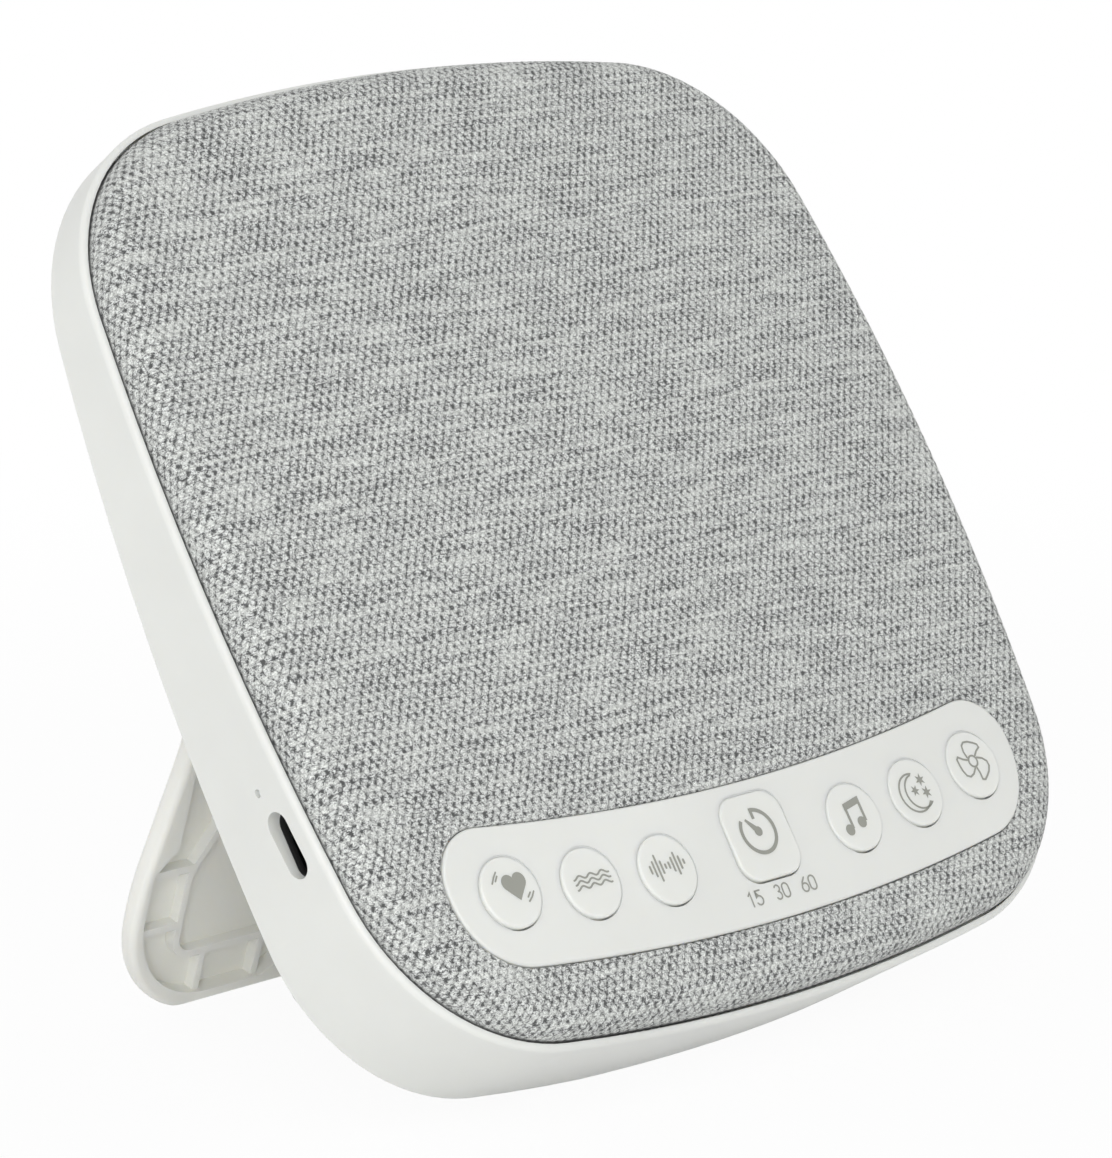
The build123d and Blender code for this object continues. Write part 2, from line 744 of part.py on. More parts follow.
with BuildPart() as speaker_surround:
    with BuildSketch(speaker_section):
        roll = (speaker_bore - cone_radius) / 2
        with BuildLine():
            Polyline(
                (cone_radius - surround_lap, gasket_back),
                (cone_radius, gasket_back),
            )
            ThreePointArc(
                (cone_radius, gasket_back),
                (cone_radius + roll, gasket_back + roll_height),
                (speaker_bore, gasket_back),
            )
            Polyline(
                (speaker_bore, gasket_back),
                (speaker_bore, gasket_back + cone_wall),
            )
            ThreePointArc(
                (speaker_bore, gasket_back + cone_wall),
                (cone_radius + roll, gasket_back + roll_height + cone_wall / 2),
                (cone_radius, gasket_back + cone_wall),
            )
            Polyline(
                (cone_radius, gasket_back + cone_wall),
                (cone_radius - surround_lap, gasket_back + cone_wall),
                (cone_radius - surround_lap, gasket_back),
            )
        make_face()
    revolve(axis=speaker_axis)
save(speaker_surround, "speaker_surround")

cone_front = gasket_back
cone_rear = gasket_back - cone_depth
with BuildPart() as speaker_cone:
    with BuildSketch(speaker_section):
        with BuildLine():
            Polyline(
                (coil_radius, cone_rear),
                (cone_radius, cone_front),
                (cone_radius - 2 * cone_wall, cone_front),
                (coil_radius - cone_wall, cone_rear + cone_wall),
                (coil_radius - cone_wall, cone_rear),
                close=True,
            )
        make_face()
    revolve(axis=speaker_axis)
save(speaker_cone, "speaker_cone")

cap_reach = coil_radius + cap_lap
cap_base = cone_rear + 2 * cone_wall + screw_slack
with BuildPart() as dust_cap:
    with BuildSketch(speaker_section):
        with BuildLine():
            under = ThreePointArc(
                (0, cap_base + cap_rise),
                (cap_reach / 2, cap_base + cap_rise * 3 / 4),
                (cap_reach, cap_base),
            )
            over = ThreePointArc(
                (0, cap_base + cap_rise + cone_wall),
                (cap_reach / 2, cap_base + cap_rise * 3 / 4 + cone_wall),
                (cap_reach, cap_base + cone_wall),
            )
            Line(under @ 0, over @ 0)
            Line(under @ 1, over @ 1)
        make_face()
    revolve(axis=speaker_axis)
save(dust_cap, "dust_cap")

with BuildPart() as voice_coil:
    with BuildSketch(face_spot(0, speaker_height, cone_rear)):
        Circle(coil_radius - cone_wall)
        Circle(coil_radius - 2 * cone_wall, mode=Mode.SUBTRACT)
    extrude(amount=-(basket_depth - cone_depth + magnet_thickness / 2))
save(voice_coil, "voice_coil")

magnet_front = basket_back
magnet_back = magnet_front - magnet_thickness
with BuildPart() as speaker_magnet:
    with BuildSketch(face_spot(0, speaker_height, magnet_front)):
        Circle(magnet_radius)
        Circle(coil_radius + coil_clearance, mode=Mode.SUBTRACT)
    extrude(amount=-magnet_thickness)
save(speaker_magnet, "speaker_magnet")

with BuildPart() as magnet_yoke:
    with BuildSketch(face_spot(0, speaker_height, magnet_back)):
        Circle(magnet_radius + basket_wall / 3)
    extrude(amount=-plate_thickness)
    with BuildSketch(face_spot(0, speaker_height, magnet_back)):
        Circle(coil_radius - 3 * cone_wall)
    extrude(amount=magnet_thickness + plate_thickness)
save(magnet_yoke, "magnet_yoke")

with BuildPart() as speaker_screw_set:
    with BuildSketch(face.offset(flange_back)):
        with Locations(*speaker_screws):
            Circle(small_head_radius)
    extrude(amount=-small_head_height)
    with BuildSketch(face.offset(flange_back)):
        with Locations(*speaker_screws):
            Circle(small_screw_radius)
    extrude(amount=small_screw_length)
save(speaker_screw_set, "speaker_screws")

# ---------------------------------------------------------------- main board and what is on it
board_middle = (main_board_top_edge + main_board_bottom_edge) / 2
board_length = main_board_top_edge - main_board_bottom_edge
with BuildPart() as main_board:
    with BuildSketch(face_spot(0, board_middle, main_board_top)):
        RectangleRounded(2 * main_board_half_width, board_length, main_board_corner)
    extrude(amount=-main_board_thickness)
    with BuildSketch(face.offset(main_board_top)):
        with Locations(*board_screws):
            Circle(small_screw_radius + key_gap)
    extrude(amount=-main_board_thickness, mode=Mode.SUBTRACT)
save(main_board, "main_board")

port_mouth = left_wall(port_centre, port_depth).offset(-port_recess)
with BuildPart() as usb_port:
    with BuildSketch(port_mouth):
        SlotOverall(port_width, port_height)
        SlotOverall(port_width - 2 * port_shell, port_height - 2 * port_shell, mode=Mode.SUBTRACT)
    extrude(amount=-port_length)
    with BuildSketch(port_mouth.offset(-port_length)):
        SlotOverall(port_width, port_height)
    extrude(amount=-port_shell)
    with BuildSketch(port_mouth.offset(-port_length)):
        Rectangle(tongue_width, tongue_thickness)
    extrude(amount=port_length - tongue_thickness)
save(usb_port, "usb_port")

led_spot = left_wall(led_centre, led_depth).offset(wall_grow - led_recess)
led_end = side_edge(led_centre) + wall_grow - led_recess
led_pipe_length = led_end + led_lap - led_size - main_board_half_width
with BuildPart() as charge_light_pipe:
    with BuildSketch(led_spot):
        Circle(led_radius - screw_slack)
    extrude(amount=-led_pipe_length)
    with BuildSketch(led_spot.offset(-led_pipe_length)):
        Rectangle(led_size, led_size)
    extrude(amount=-led_size)
save(charge_light_pipe, "charge_light_pipe")

with BuildPart() as volume_wheel:
    with BuildSketch(face_spot(wheel_across, wheel_centre, wheel_bottom)):
        Circle(wheel_radius)
        with PolarLocations(wheel_radius + knurl_radius / 3, knurl_count):
            Circle(knurl_radius, mode=Mode.SUBTRACT)
    extrude(amount=wheel_thickness)
    with BuildSketch(face_spot(wheel_across, wheel_centre, wheel_bottom)):
        Circle(wheel_axle_radius + pin_fit)
    extrude(amount=wheel_thickness, mode=Mode.SUBTRACT)
save(volume_wheel, "volume_wheel")

with BuildPart() as volume_control:
    with BuildSketch(face_spot(wheel_across, wheel_centre, main_board_top)):
        Circle(volume_body_radius)
    extrude(amount=wheel_bottom - main_board_top - key_gap)
    with BuildSketch(face_spot(wheel_across, wheel_centre, main_board_top)):
        Circle(wheel_axle_radius)
    extrude(amount=wheel_top - main_board_top + axle_proud)
    with BuildSketch(face_spot(wheel_across, wheel_centre, wheel_top + axle_proud)):
        Circle(wheel_axle_radius + axle_cap_overhang)
    extrude(amount=axle_cap_thickness)
save(volume_control, "volume_control")

battery_back = main_board_top + battery_pad
with BuildPart() as battery:
    with BuildSketch(face_spot(0, battery_centre, battery_back)):
        Rectangle(battery_length, battery_width)
    extrude(amount=battery_thickness)
    fillet(battery.edges().filter_by(Axis.X), radius=battery_edge_radius)
save(battery, "battery")

with BuildPart() as battery_pads:
    with BuildSketch(face_spot(0, battery_centre, main_board_top)):
        with GridLocations(battery_length / 2, 0, 2, 1):
            Rectangle(battery_length / 4, battery_width - 2 * battery_pad_margin)
    extrude(amount=battery_pad)
save(battery_pads, "battery_pads")

with BuildPart() as main_board_screws:
    with BuildSketch(face.offset(main_board_top)):
        with Locations(*board_screws):
            Circle(small_head_radius)
    extrude(amount=small_head_height)
    with BuildSketch(face.offset(main_board_top)):
        with Locations(*board_screws):
            Circle(small_screw_radius)
    extrude(amount=-small_screw_length)
save(main_board_screws, "main_board_screws")

# ---------------------------------------------------------------- rear cover
recess_top = barrel_radius + barrel_clearance
hinge_block = recess_top + tub_wall


def recess_tub():
    """Block round the folded kickstand, with its hinge blocks, rooted in the rear wall."""
    with BuildPart() as tub:
        with BuildSketch(folded.offset(hinge_block)):
            add(stand_outline(stand_clearance + tub_wall, stand_reach))
            Rectangle(
                2 * (arm_half_width + stand_clearance + pin_reach + tub_wall), 2 * hinge_block
            )
        extrude(amount=-(hinge_block + stand_thickness / 2 - cover_wall / 2))
    return tub.part


def cover_hollow():
    """Space inside the rear cover, round its tub."""
    with BuildPart() as hollow:
        add(cover_solid(cover_wall, hinge_block))
        add(recess_tub(), mode=Mode.SUBTRACT)
    return hollow.part


def case_bosses():
    """Bosses under the case screws, from the spigot to the rounded back."""
    with BuildPart() as bosses:
        add(cover_solid(0, cover_spigot))
        with BuildSketch(face):
            with Locations(*case_screws):
                Circle(case_post_radius)
        extrude(amount=-3 * middle_depth, mode=Mode.INTERSECT)
    return bosses.part


def board_posts():
    """Four posts that carry the main board, rooted in the rear wall."""
    with BuildPart() as posts:
        with BuildSketch(face.offset(main_board_top - main_board_thickness)):
            with Locations(*board_screws):
                Circle(panel_post_radius)
        extrude(amount=-2 * middle_depth)
        split(bisect_by=back.offset(cover_wall / 2 - cover_depth), keep=Keep.TOP)
    return posts.part


with BuildPart() as rear_cover:
    add(cover_solid(0, cover_spigot))
    add(cover_hollow(), mode=Mode.SUBTRACT)
    add(recess_tub())
    add(case_bosses())
    add(board_posts())
    # recess for the kickstand, with room for its barrel
    with BuildSketch(folded.offset(recess_top)):
        add(stand_outline(stand_clearance, stand_reach))
        with Locations((0, recess_top / 2)):
            Rectangle(2 * (arm_half_width + stand_clearance), recess_top)
    extrude(amount=-2 * cover_depth, mode=Mode.SUBTRACT)
    # finger notch in the margin below the folded kickstand
    with BuildSketch(folded.offset(-stand_thickness)):
        with Locations((0, -stand_reach)):
            RectangleRounded(notch_width, 2 * housing_wall + cover_edge_radius, housing_wall)
    extrude(amount=stand_thickness + hinge_inset - barrel_clearance, mode=Mode.SUBTRACT)
    # bores for the hinge pins
    for side in (-1, 1):
        pin_mouth = Plane(
            origin=hinge_point + Vector(side * (arm_half_width + stand_clearance), 0, 0),
            z_dir=(side, 0, 0),
        )
        with BuildSketch(pin_mouth):
            Circle(pin_radius + pin_fit)
        extrude(amount=pin_reach, mode=Mode.SUBTRACT)
    # counterbored holes for the case screws, pilot holes in the posts
    for across, up in case_screws:
        with BuildSketch(face_spot(across, up, seat_depth(up))):
            Circle(case_screw_radius + 2 * screw_slack)
        extrude(amount=case_screw_length, mode=Mode.SUBTRACT)
        with BuildSketch(face_spot(across, up, seat_depth(up))):
            Circle(case_head_radius + 2 * screw_slack)
        extrude(amount=-cover_depth, mode=Mode.SUBTRACT)
    with BuildSketch(face.offset(main_board_top - main_board_thickness)):
        with Locations(*board_screws):
            Circle(small_screw_radius + screw_slack)
    extrude(amount=-small_screw_length, mode=Mode.SUBTRACT)
save(rear_cover, "rear_cover")

with BuildPart() as case_screw_set:
    for across, up in case_screws:
        with BuildSketch(face_spot(across, up, seat_depth(up))):
            Circle(case_head_radius)
        extrude(amount=-case_head_height)
        with BuildSketch(face_spot(across, up, seat_depth(up))):
            Circle(case_screw_radius)
        extrude(amount=case_screw_length)
        # cross recess
        with BuildSketch(face_spot(across, up, seat_depth(up) - case_head_height)):
            Rectangle(case_head_radius * 1.2, case_head_radius * 0.3)
            Rectangle(case_head_radius * 0.3, case_head_radius * 1.2)
        extrude(amount=case_head_height / 2, mode=Mode.SUBTRACT)
save(case_screw_set, "case_screws")


# ---------------------------------------------------------------- kickstand
def stand_pocket():
    """Hollow inside the kickstand's border, wider near the foot than at the arms."""
    arm = arm_half_width - arm_width
    wide = stand_half_width - border_width
    foot = foot_border - stand_length
    shoulder = shoulder_height - stand_length
    with BuildSketch() as pocket:
        with BuildLine():
            both_sides(
                [
                    (arm, -hinge_border),
                    (arm, shoulder),
                    (wide, shoulder - wide + arm),
                    (wide, foot),
                    (tab_half_width, foot),
                    (tab_half_width - tab_slope, foot + tab_rise),
                ]
            )
        make_face()
        fillet(pocket.vertices().group_by(Axis.Y)[-1], radius=pocket_corner_radius)
        foot_row = pocket.vertices().group_by(Axis.Y)[0].sort_by(Axis.X)
        corners = [foot_row[0], foot_row[-1]]
        fillet(corners, radius=stand_corner_radius - border_width)
    return pocket.sketch


with BuildPart() as kickstand:
    with BuildSketch(opened.offset(-stand_thickness / 2)):
        add(stand_outline(0, stand_reach))
    extrude(amount=stand_thickness)
    through = Axis(opened.origin, opened.z_dir)
    outer = kickstand.faces().sort_by(through)[0]
    inner = kickstand.faces().sort_by(through)[-1]
    top_edges = kickstand.edges().filter_by(Axis.X).sort_by(Axis.Z)[-2:]
    fillet(outer.edges() - top_edges, radius=stand_outer_radius)
    fillet(inner.edges() - top_edges, radius=stand_inner_radius)
    with Locations(opened):
        Cylinder(barrel_radius, 2 * arm_half_width, rotation=(0, 90, 0))
    # tray with a U-shaped rib and short ribs out to the border
    with BuildSketch(opened.offset(stand_floor - stand_thickness / 2)):
        add(stand_pocket())
    extrude(amount=stand_thickness, mode=Mode.SUBTRACT)
    rib_side = stand_half_width - border_width - rib_inset
    rib_row = rib_foot_height - stand_length
    rib_knee = shoulder_height - rib_knee_drop - stand_length
    rib_neck = rib_knee + rib_step
    rib_arm = rib_side - rib_waist
    with BuildSketch(opened.offset(stand_floor - stand_thickness / 2 - screw_slack)):
        with BuildLine():
            FilletPolyline(
                (-rib_arm, -hinge_border),
                (-rib_arm, rib_neck),
                (-rib_side, rib_knee),
                (-rib_side, rib_row),
                (rib_side, rib_row),
                (rib_side, rib_knee),
                (rib_arm, rib_neck),
                (rib_arm, -hinge_border),
                radius=rib_bend_radius,
            )
        trace(line_width=rib_thickness)
        for side in (-1, 1):
            for height in (low_rib_height, shoulder_rib_height):
                with Locations((side * (rib_side + rib_inset / 2), height - stand_length)):
                    Rectangle(rib_inset + rib_thickness, rib_thickness)
        with GridLocations(foot_rib_spacing, 0, foot_rib_count, 1):
            with Locations((0, (rib_row + foot_border - stand_length) / 2)):
                Rectangle(rib_thickness, rib_row - foot_border + stand_length + rib_thickness)
    extrude(amount=stand_thickness - stand_floor - rib_drop)
    for side in (-1, 1):
        pin_mouth = Plane(
            origin=hinge_point + Vector(side * arm_half_width, 0, 0), z_dir=(side, 0, 0)
        )
        with BuildSketch(pin_mouth):
            Circle(pin_radius)
        extrude(amount=-pin_grip, mode=Mode.SUBTRACT)
    split(bisect_by=floor_plane, keep=Keep.TOP)
save(kickstand, "kickstand")

with BuildPart() as hinge_pins:
    for side in (-1, 1):
        pin_start = Plane(
            origin=hinge_point + Vector(side * (arm_half_width - pin_grip), 0, 0),
            z_dir=(side, 0, 0),
        )
        with BuildSketch(pin_start):
            Circle(pin_radius)
        extrude(amount=pin_grip + stand_clearance + pin_reach - barrel_clearance)
save(hinge_pins, "hinge_pins")
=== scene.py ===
import bmesh
import bpy
import math
import numpy as np
from mathutils import Matrix, Vector


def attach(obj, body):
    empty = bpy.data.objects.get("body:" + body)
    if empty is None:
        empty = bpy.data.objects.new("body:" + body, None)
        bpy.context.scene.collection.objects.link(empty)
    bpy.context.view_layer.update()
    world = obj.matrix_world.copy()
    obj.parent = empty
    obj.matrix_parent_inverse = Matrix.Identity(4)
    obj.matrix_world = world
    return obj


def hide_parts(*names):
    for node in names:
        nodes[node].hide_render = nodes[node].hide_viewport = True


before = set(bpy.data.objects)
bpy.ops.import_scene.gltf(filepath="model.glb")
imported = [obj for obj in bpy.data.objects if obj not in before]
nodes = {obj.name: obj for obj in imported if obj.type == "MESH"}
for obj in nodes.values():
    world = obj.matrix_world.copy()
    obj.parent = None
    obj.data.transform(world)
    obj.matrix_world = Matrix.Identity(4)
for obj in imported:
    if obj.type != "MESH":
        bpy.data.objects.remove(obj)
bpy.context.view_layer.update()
scene = bpy.context.scene
collection = scene.collection

# ---------------------------------------------------------------- the leaning front, in millimetres
# u runs to the right, v up the front and w out of it, from the middle of the fabric seam.
LEAN = math.radians(33.5)
SEAM = np.array([0.0, 22.3436, 71.0274])
U = np.array([1.0, 0.0, 0.0])
V = np.array([0.0, math.sin(LEAN), math.cos(LEAN)])
W = np.array([0.0, -math.cos(LEAN), math.sin(LEAN)])

# the fabric's outline: four bowed sides and round corners
HALF_WIDTH, HALF_HEIGHT = 71.0, 71.85
SIDE_RADIUS, END_RADIUS, CORNER_RADIUS = 413.0, 335.0, 29.6
# the pad under the fabric: a shallow dome with a round edge
DOME_RADIUS, PAD_HEIGHT, EDGE_RADIUS = 1400.0, 7.8, 4.0
# the control panel's outline: a bent band with round ends
BAND_HALF, BAND_TOP, BAND_BOTTOM, BAND_CURVE = 57.4, -42.5, -62.6, 350.0
BAND_TOP_CORNER, BAND_BOTTOM_CORNER = 7.6, 12.0
PANEL_PROUD, KEY_PROUD = 0.2, 0.35
# centres of the keys
KEYS = {
    "key_heartbeat": (-47.4, -48.896), "key_waves": (-33.3, -50.620),
    "key_white_noise": (-19.2, -51.741), "key_timer": (0.0, -50.7),
    "key_music": (19.2, -51.741), "key_night": (33.3, -50.620),
    "key_fan": (47.4, -48.896),
}
TINY = 1e-9


def place(u, v, w):
    """Positions in metres, in the shared frame, of points on the leaning front."""
    u, v, w = (np.asarray(x, float)[..., None] for x in (u, v, w))
    return (SEAM + u * U + v * V + w * W) / 1000.0


def dome(u, v):
    """Height of the domed front above the seam."""
    return np.sqrt(DOME_RADIUS**2 - u**2 - v**2) + PAD_HEIGHT - DOME_RADIUS


def corner_centre():
    """Centre of the corner arcs of the fabric's outline, which touch both bowed sides."""
    x, y = HALF_WIDTH - CORNER_RADIUS, HALF_HEIGHT - CORNER_RADIUS
    a, b = SIDE_RADIUS - CORNER_RADIUS, END_RADIUS - CORNER_RADIUS
    sx, ey = HALF_WIDTH - SIDE_RADIUS, HALF_HEIGHT - END_RADIUS
    for _ in range(30):
        f = np.array([(x - sx) ** 2 + y**2 - a**2, x**2 + (y - ey) ** 2 - b**2])
        j = np.array([[2 * (x - sx), 2 * y], [2 * x, 2 * (y - ey)]])
        dx, dy = np.linalg.solve(j, f)
        x, y = x - dx, y - dy
    return x, y


CORNER = corner_centre()


def pillow(u, v):
    """Signed distance outside the fabric's outline, and the outward direction."""
    au, av = np.abs(u), np.abs(v)
    cx, cy = CORNER
    sx, ey = HALF_WIDTH - SIDE_RADIUS, HALF_HEIGHT - END_RADIUS
    side = np.hypot(au - sx, av) - SIDE_RADIUS
    end = np.hypot(au, av - ey) - END_RADIUS
    corner = np.hypot(au - cx, av - cy) - CORNER_RADIUS
    above = (cx - sx) * av - cy * (au - sx) > 0
    right = cx * (av - ey) - (cy - ey) * au < 0
    in_corner = above & right
    use_side = side > end
    d = np.where(in_corner, corner, np.where(use_side, side, end))
    ox = np.where(in_corner, cx, np.where(use_side, sx, 0.0))
    oy = np.where(in_corner, cy, np.where(use_side, 0.0, ey))
    nx, ny = au - ox, av - oy
    length = np.maximum(np.hypot(nx, ny), TINY)
    return d, nx / length * np.sign(u), ny / length * np.sign(v)


def band(u, v):
    """Signed distance outside the control panel's outline, and the outward direction."""
    au = np.abs(u)
    top, low = BAND_TOP + BAND_CURVE, BAND_BOTTOM + BAND_CURVE
    tx = BAND_HALF - BAND_TOP_CORNER
    ty = top - math.sqrt((BAND_CURVE + BAND_TOP_CORNER) ** 2 - tx**2)
    bx = BAND_HALF - BAND_BOTTOM_CORNER
    by = low - math.sqrt((BAND_CURVE - BAND_BOTTOM_CORNER) ** 2 - bx**2)
    r_top, r_low = np.hypot(au, v - top), np.hypot(au, v - low)
    d_top, d_low, d_end = BAND_CURVE - r_top, r_low - BAND_CURVE, au - BAND_HALF
    d = np.maximum(np.maximum(d_top, d_low), d_end)
    at_end, at_top = d == d_end, d == d_top
    nx = np.where(at_end, 1.0, np.where(at_top, -au / r_top, au / r_low))
    ny = np.where(at_end, 0.0, np.where(at_top, -(v - top) / r_top, (v - low) / r_low))
    corners = ((tx, ty, BAND_TOP_CORNER, top), (bx, by, BAND_BOTTOM_CORNER, low))
    for x, y, r, pivot in corners:
        outer_half = (v > y) if pivot == top else (v < y)
        beyond = au * (pivot - y) - x * (pivot - v) > 0
        here = beyond & outer_half & (au > x * 0.9)
        q = np.maximum(np.hypot(au - x, v - y), TINY)
        d = np.where(here, q - r, d)
        nx = np.where(here, (au - x) / q, nx)
        ny = np.where(here, (v - y) / q, ny)
    return d, nx * np.sign(u), ny


# ---------------------------------------------------------------- materials
def material(name):
    m = bpy.data.materials.new(name)
    m.use_nodes = True
    tree = m.node_tree
    return m, tree, tree.nodes["Principled BSDF"]


def node(tree, kind, inputs=None, **settings):
    """A shader node; its inputs are values, or sockets to link."""
    n = tree.nodes.new(kind)
    for key, value in settings.items():
        setattr(n, key, value)
    for key, value in (inputs or {}).items():
        if isinstance(value, bpy.types.NodeSocket):
            tree.links.new(value, n.inputs[key])
        else:
            n.inputs[key].default_value = value
    return n


def ramp(tree, source, stops):
    n = node(tree, "ShaderNodeValToRGB", {"Fac": source})
    points = n.color_ramp.elements
    while len(points) < len(stops):
        points.new(0.5)
    for point, (at, colour) in zip(points, stops):
        point.position = at
        point.color = (*colour, 1.0)
    return n.outputs["Color"]


def spread(tree, source, low, high, to_low, to_high, **settings):
    """The source's stretch from low to high, spread over another stretch."""
    stretch = {
        "Value": source, "From Min": low, "From Max": high, "To Min": to_low, "To Max": to_high,
    }
    return node(tree, "ShaderNodeMapRange", stretch, **settings).outputs["Result"]


# light wanders about a millimetre inside thin white plastic, in metres
BOUNCE_REACH = (0.0014, 0.0013, 0.0011)
MOTTLE_SCALE, GRAIN_STRENGTH = 38.0, 0.25


def plastic(name, colour, roughness=0.42, grain=9000.0, depth=0.012, mottle=0.02, bounce=0.0):
    """Moulded plastic: fine spark-eroded grain, faint flow mottling, handled patches."""
    m, tree, shader = material(name)
    coord = node(tree, "ShaderNodeTexCoord").outputs["Object"]
    fine = node(tree, "ShaderNodeTexNoise", {"Vector": coord, "Scale": grain, "Detail": 2.0})
    broad = node(
        tree, "ShaderNodeTexNoise", {"Vector": coord, "Scale": MOTTLE_SCALE, "Detail": 3.0},
    )
    low = tuple(c * (1 - mottle) for c in colour)
    high = tuple(min(1.0, c * (1 + mottle)) for c in colour)
    tint = ramp(tree, broad.outputs["Fac"], [(0.35, low), (0.65, high)])
    tree.links.new(tint, shader.inputs["Base Color"])
    rough = spread(tree, broad.outputs["Fac"], 0.3, 0.7, roughness - 0.04, roughness + 0.05)
    tree.links.new(rough, shader.inputs["Roughness"])
    bump = node(
        tree, "ShaderNodeBump",
        {"Height": fine.outputs["Fac"], "Strength": GRAIN_STRENGTH, "Distance": depth / 1000.0},
    )
    tree.links.new(bump.outputs["Normal"], shader.inputs["Normal"])
    if bounce:
        shader.inputs["Subsurface Weight"].default_value = bounce
        shader.inputs["Subsurface Scale"].default_value = 1.0
        shader.inputs["Subsurface Radius"].default_value = BOUNCE_REACH
    return m


def metal(name, colour, roughness=0.35, streak=(40.0, 1200.0, 1200.0)):
    """Metal with fine lines left by rolling or turning."""
    m, tree, shader = material(name)
    coord = node(tree, "ShaderNodeTexCoord").outputs["Object"]
    mapped = node(tree, "ShaderNodeMapping", {"Vector": coord, "Scale": streak}).outputs["Vector"]
    lines = node(tree, "ShaderNodeTexNoise", {"Vector": mapped, "Scale": 1.0, "Detail": 3.0})
    low = tuple(c * 0.82 for c in colour)
    tint = ramp(tree, lines.outputs["Fac"], [(0.3, low), (0.7, colour)])
    tree.links.new(tint, shader.inputs["Base Color"])
    shader.inputs["Metallic"].default_value = 1.0
    rough = spread(tree, lines.outputs["Fac"], 0.0, 1.0, roughness - 0.08, roughness + 0.1)
    tree.links.new(rough, shader.inputs["Roughness"])
    return m


shell_plastic = plastic("shell_plastic", (0.775, 0.785, 0.755), bounce=0.25)
stand_plastic = plastic("stand_plastic", (0.85, 0.85, 0.81), bounce=0.5)
panel_plastic = plastic("panel_plastic", (0.755, 0.765, 0.735), roughness=0.40, bounce=0.45)
key_plastic = plastic("key_plastic", (0.775, 0.785, 0.75), roughness=0.38, bounce=0.45)
frame_plastic = plastic("frame_plastic", (0.05, 0.05, 0.05), roughness=0.6)
black_plastic = plastic("black_plastic", (0.02, 0.02, 0.02), roughness=0.5)
clear_plastic = plastic("clear_plastic", (0.85, 0.87, 0.88), roughness=0.2)
rubber = plastic("key_rubber", (0.45, 0.45, 0.44), roughness=0.8, grain=3000.0)
foam = plastic("foam_rubber", (0.03, 0.03, 0.03), roughness=0.9, grain=1500.0, depth=0.1)
board_green = plastic("circuit_board", (0.03, 0.16, 0.07), roughness=0.35, mottle=0.12)
cone_paper = plastic("cone_plastic", (0.04, 0.04, 0.042), roughness=0.7, grain=2500.0, depth=0.05)
magnet_black = plastic("magnet_ferrite", (0.05, 0.05, 0.052), roughness=0.55, grain=2500.0)
print_ink = plastic("print_ink", (0.30, 0.305, 0.27), roughness=0.55, mottle=0.05)
screw_steel = metal("screw_steel", (0.62, 0.62, 0.63), 0.32)
pressed_steel = metal("pressed_steel", (0.55, 0.55, 0.56), 0.4)
# The port's near-black colour is partly real, for its black tongue, and partly painted shade: the
# steel shell is made near-black to stand for the shade deep in the port.
port_steel = metal("port_steel", (0.07, 0.07, 0.07), 0.3)
copper = metal("coil_copper", (0.80, 0.42, 0.24), 0.3, (1500.0, 1500.0, 60.0))
foil = metal("battery_foil", (0.70, 0.71, 0.73), 0.45, (300.0, 300.0, 300.0))

finishes = {
    shell_plastic: ["front_housing", "rear_cover", "volume_wheel"],
    stand_plastic: ["kickstand"],
    panel_plastic: ["control_panel"],
    key_plastic: list(KEYS),
    frame_plastic: ["front_frame"],
    black_plastic: ["key_switches", "volume_control"],
    clear_plastic: ["timer_light_guide", "charge_light_pipe"],
    rubber: ["key_mat"],
    foam: ["speaker_gasket", "battery_pads", "speaker_surround"],
    board_green: ["key_board", "main_board"],
    cone_paper: ["speaker_cone", "dust_cap"],
    magnet_black: ["speaker_magnet"],
    screw_steel: [
        "key_board_screws", "speaker_screws", "main_board_screws", "case_screws", "hinge_pins",
    ],
    pressed_steel: ["speaker_basket", "magnet_yoke"],
    port_steel: ["usb_port"],
    copper: ["voice_coil"],
    foil: ["battery"],
}
for finish, names in finishes.items():
    for name in names:
        nodes[name].data.materials.clear()
        nodes[name].data.materials.append(finish)


# ---------------------------------------------------------------- small pieces
def piece(name, points, faces, finish, body):
    """A small mesh, its faces turned outwards, that rides on a body."""
    data = bpy.data.meshes.new(name)
    data.from_pydata([tuple(p) for p in points], [], faces)
    data.validate()
    shape = bmesh.new()
    shape.from_mesh(data)
    bmesh.ops.recalc_face_normals(shape, faces=shape.faces)
    shape.to_mesh(data)
    shape.free()
    data.update()
    data.materials.append(finish)
    obj = bpy.data.objects.new(name, data)
    collection.objects.link(obj)
    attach(obj, body)


def arc(cx, cy, radius, start, end, steps=24):
    """Points of an arc, angles in degrees anticlockwise from the right."""
    turn = np.radians(np.linspace(start, end, steps + 1))
    return np.stack([cx + radius * np.cos(turn), cy + radius * np.sin(turn)], -1)


# ---------------------------------------------------------------- printed marks
# Every mark is a thin slab of ink with walls, standing on a key or on the panel.
INK_HEIGHT, INK_ROOT, INK_STEP = 0.03, 0.02, 0.002


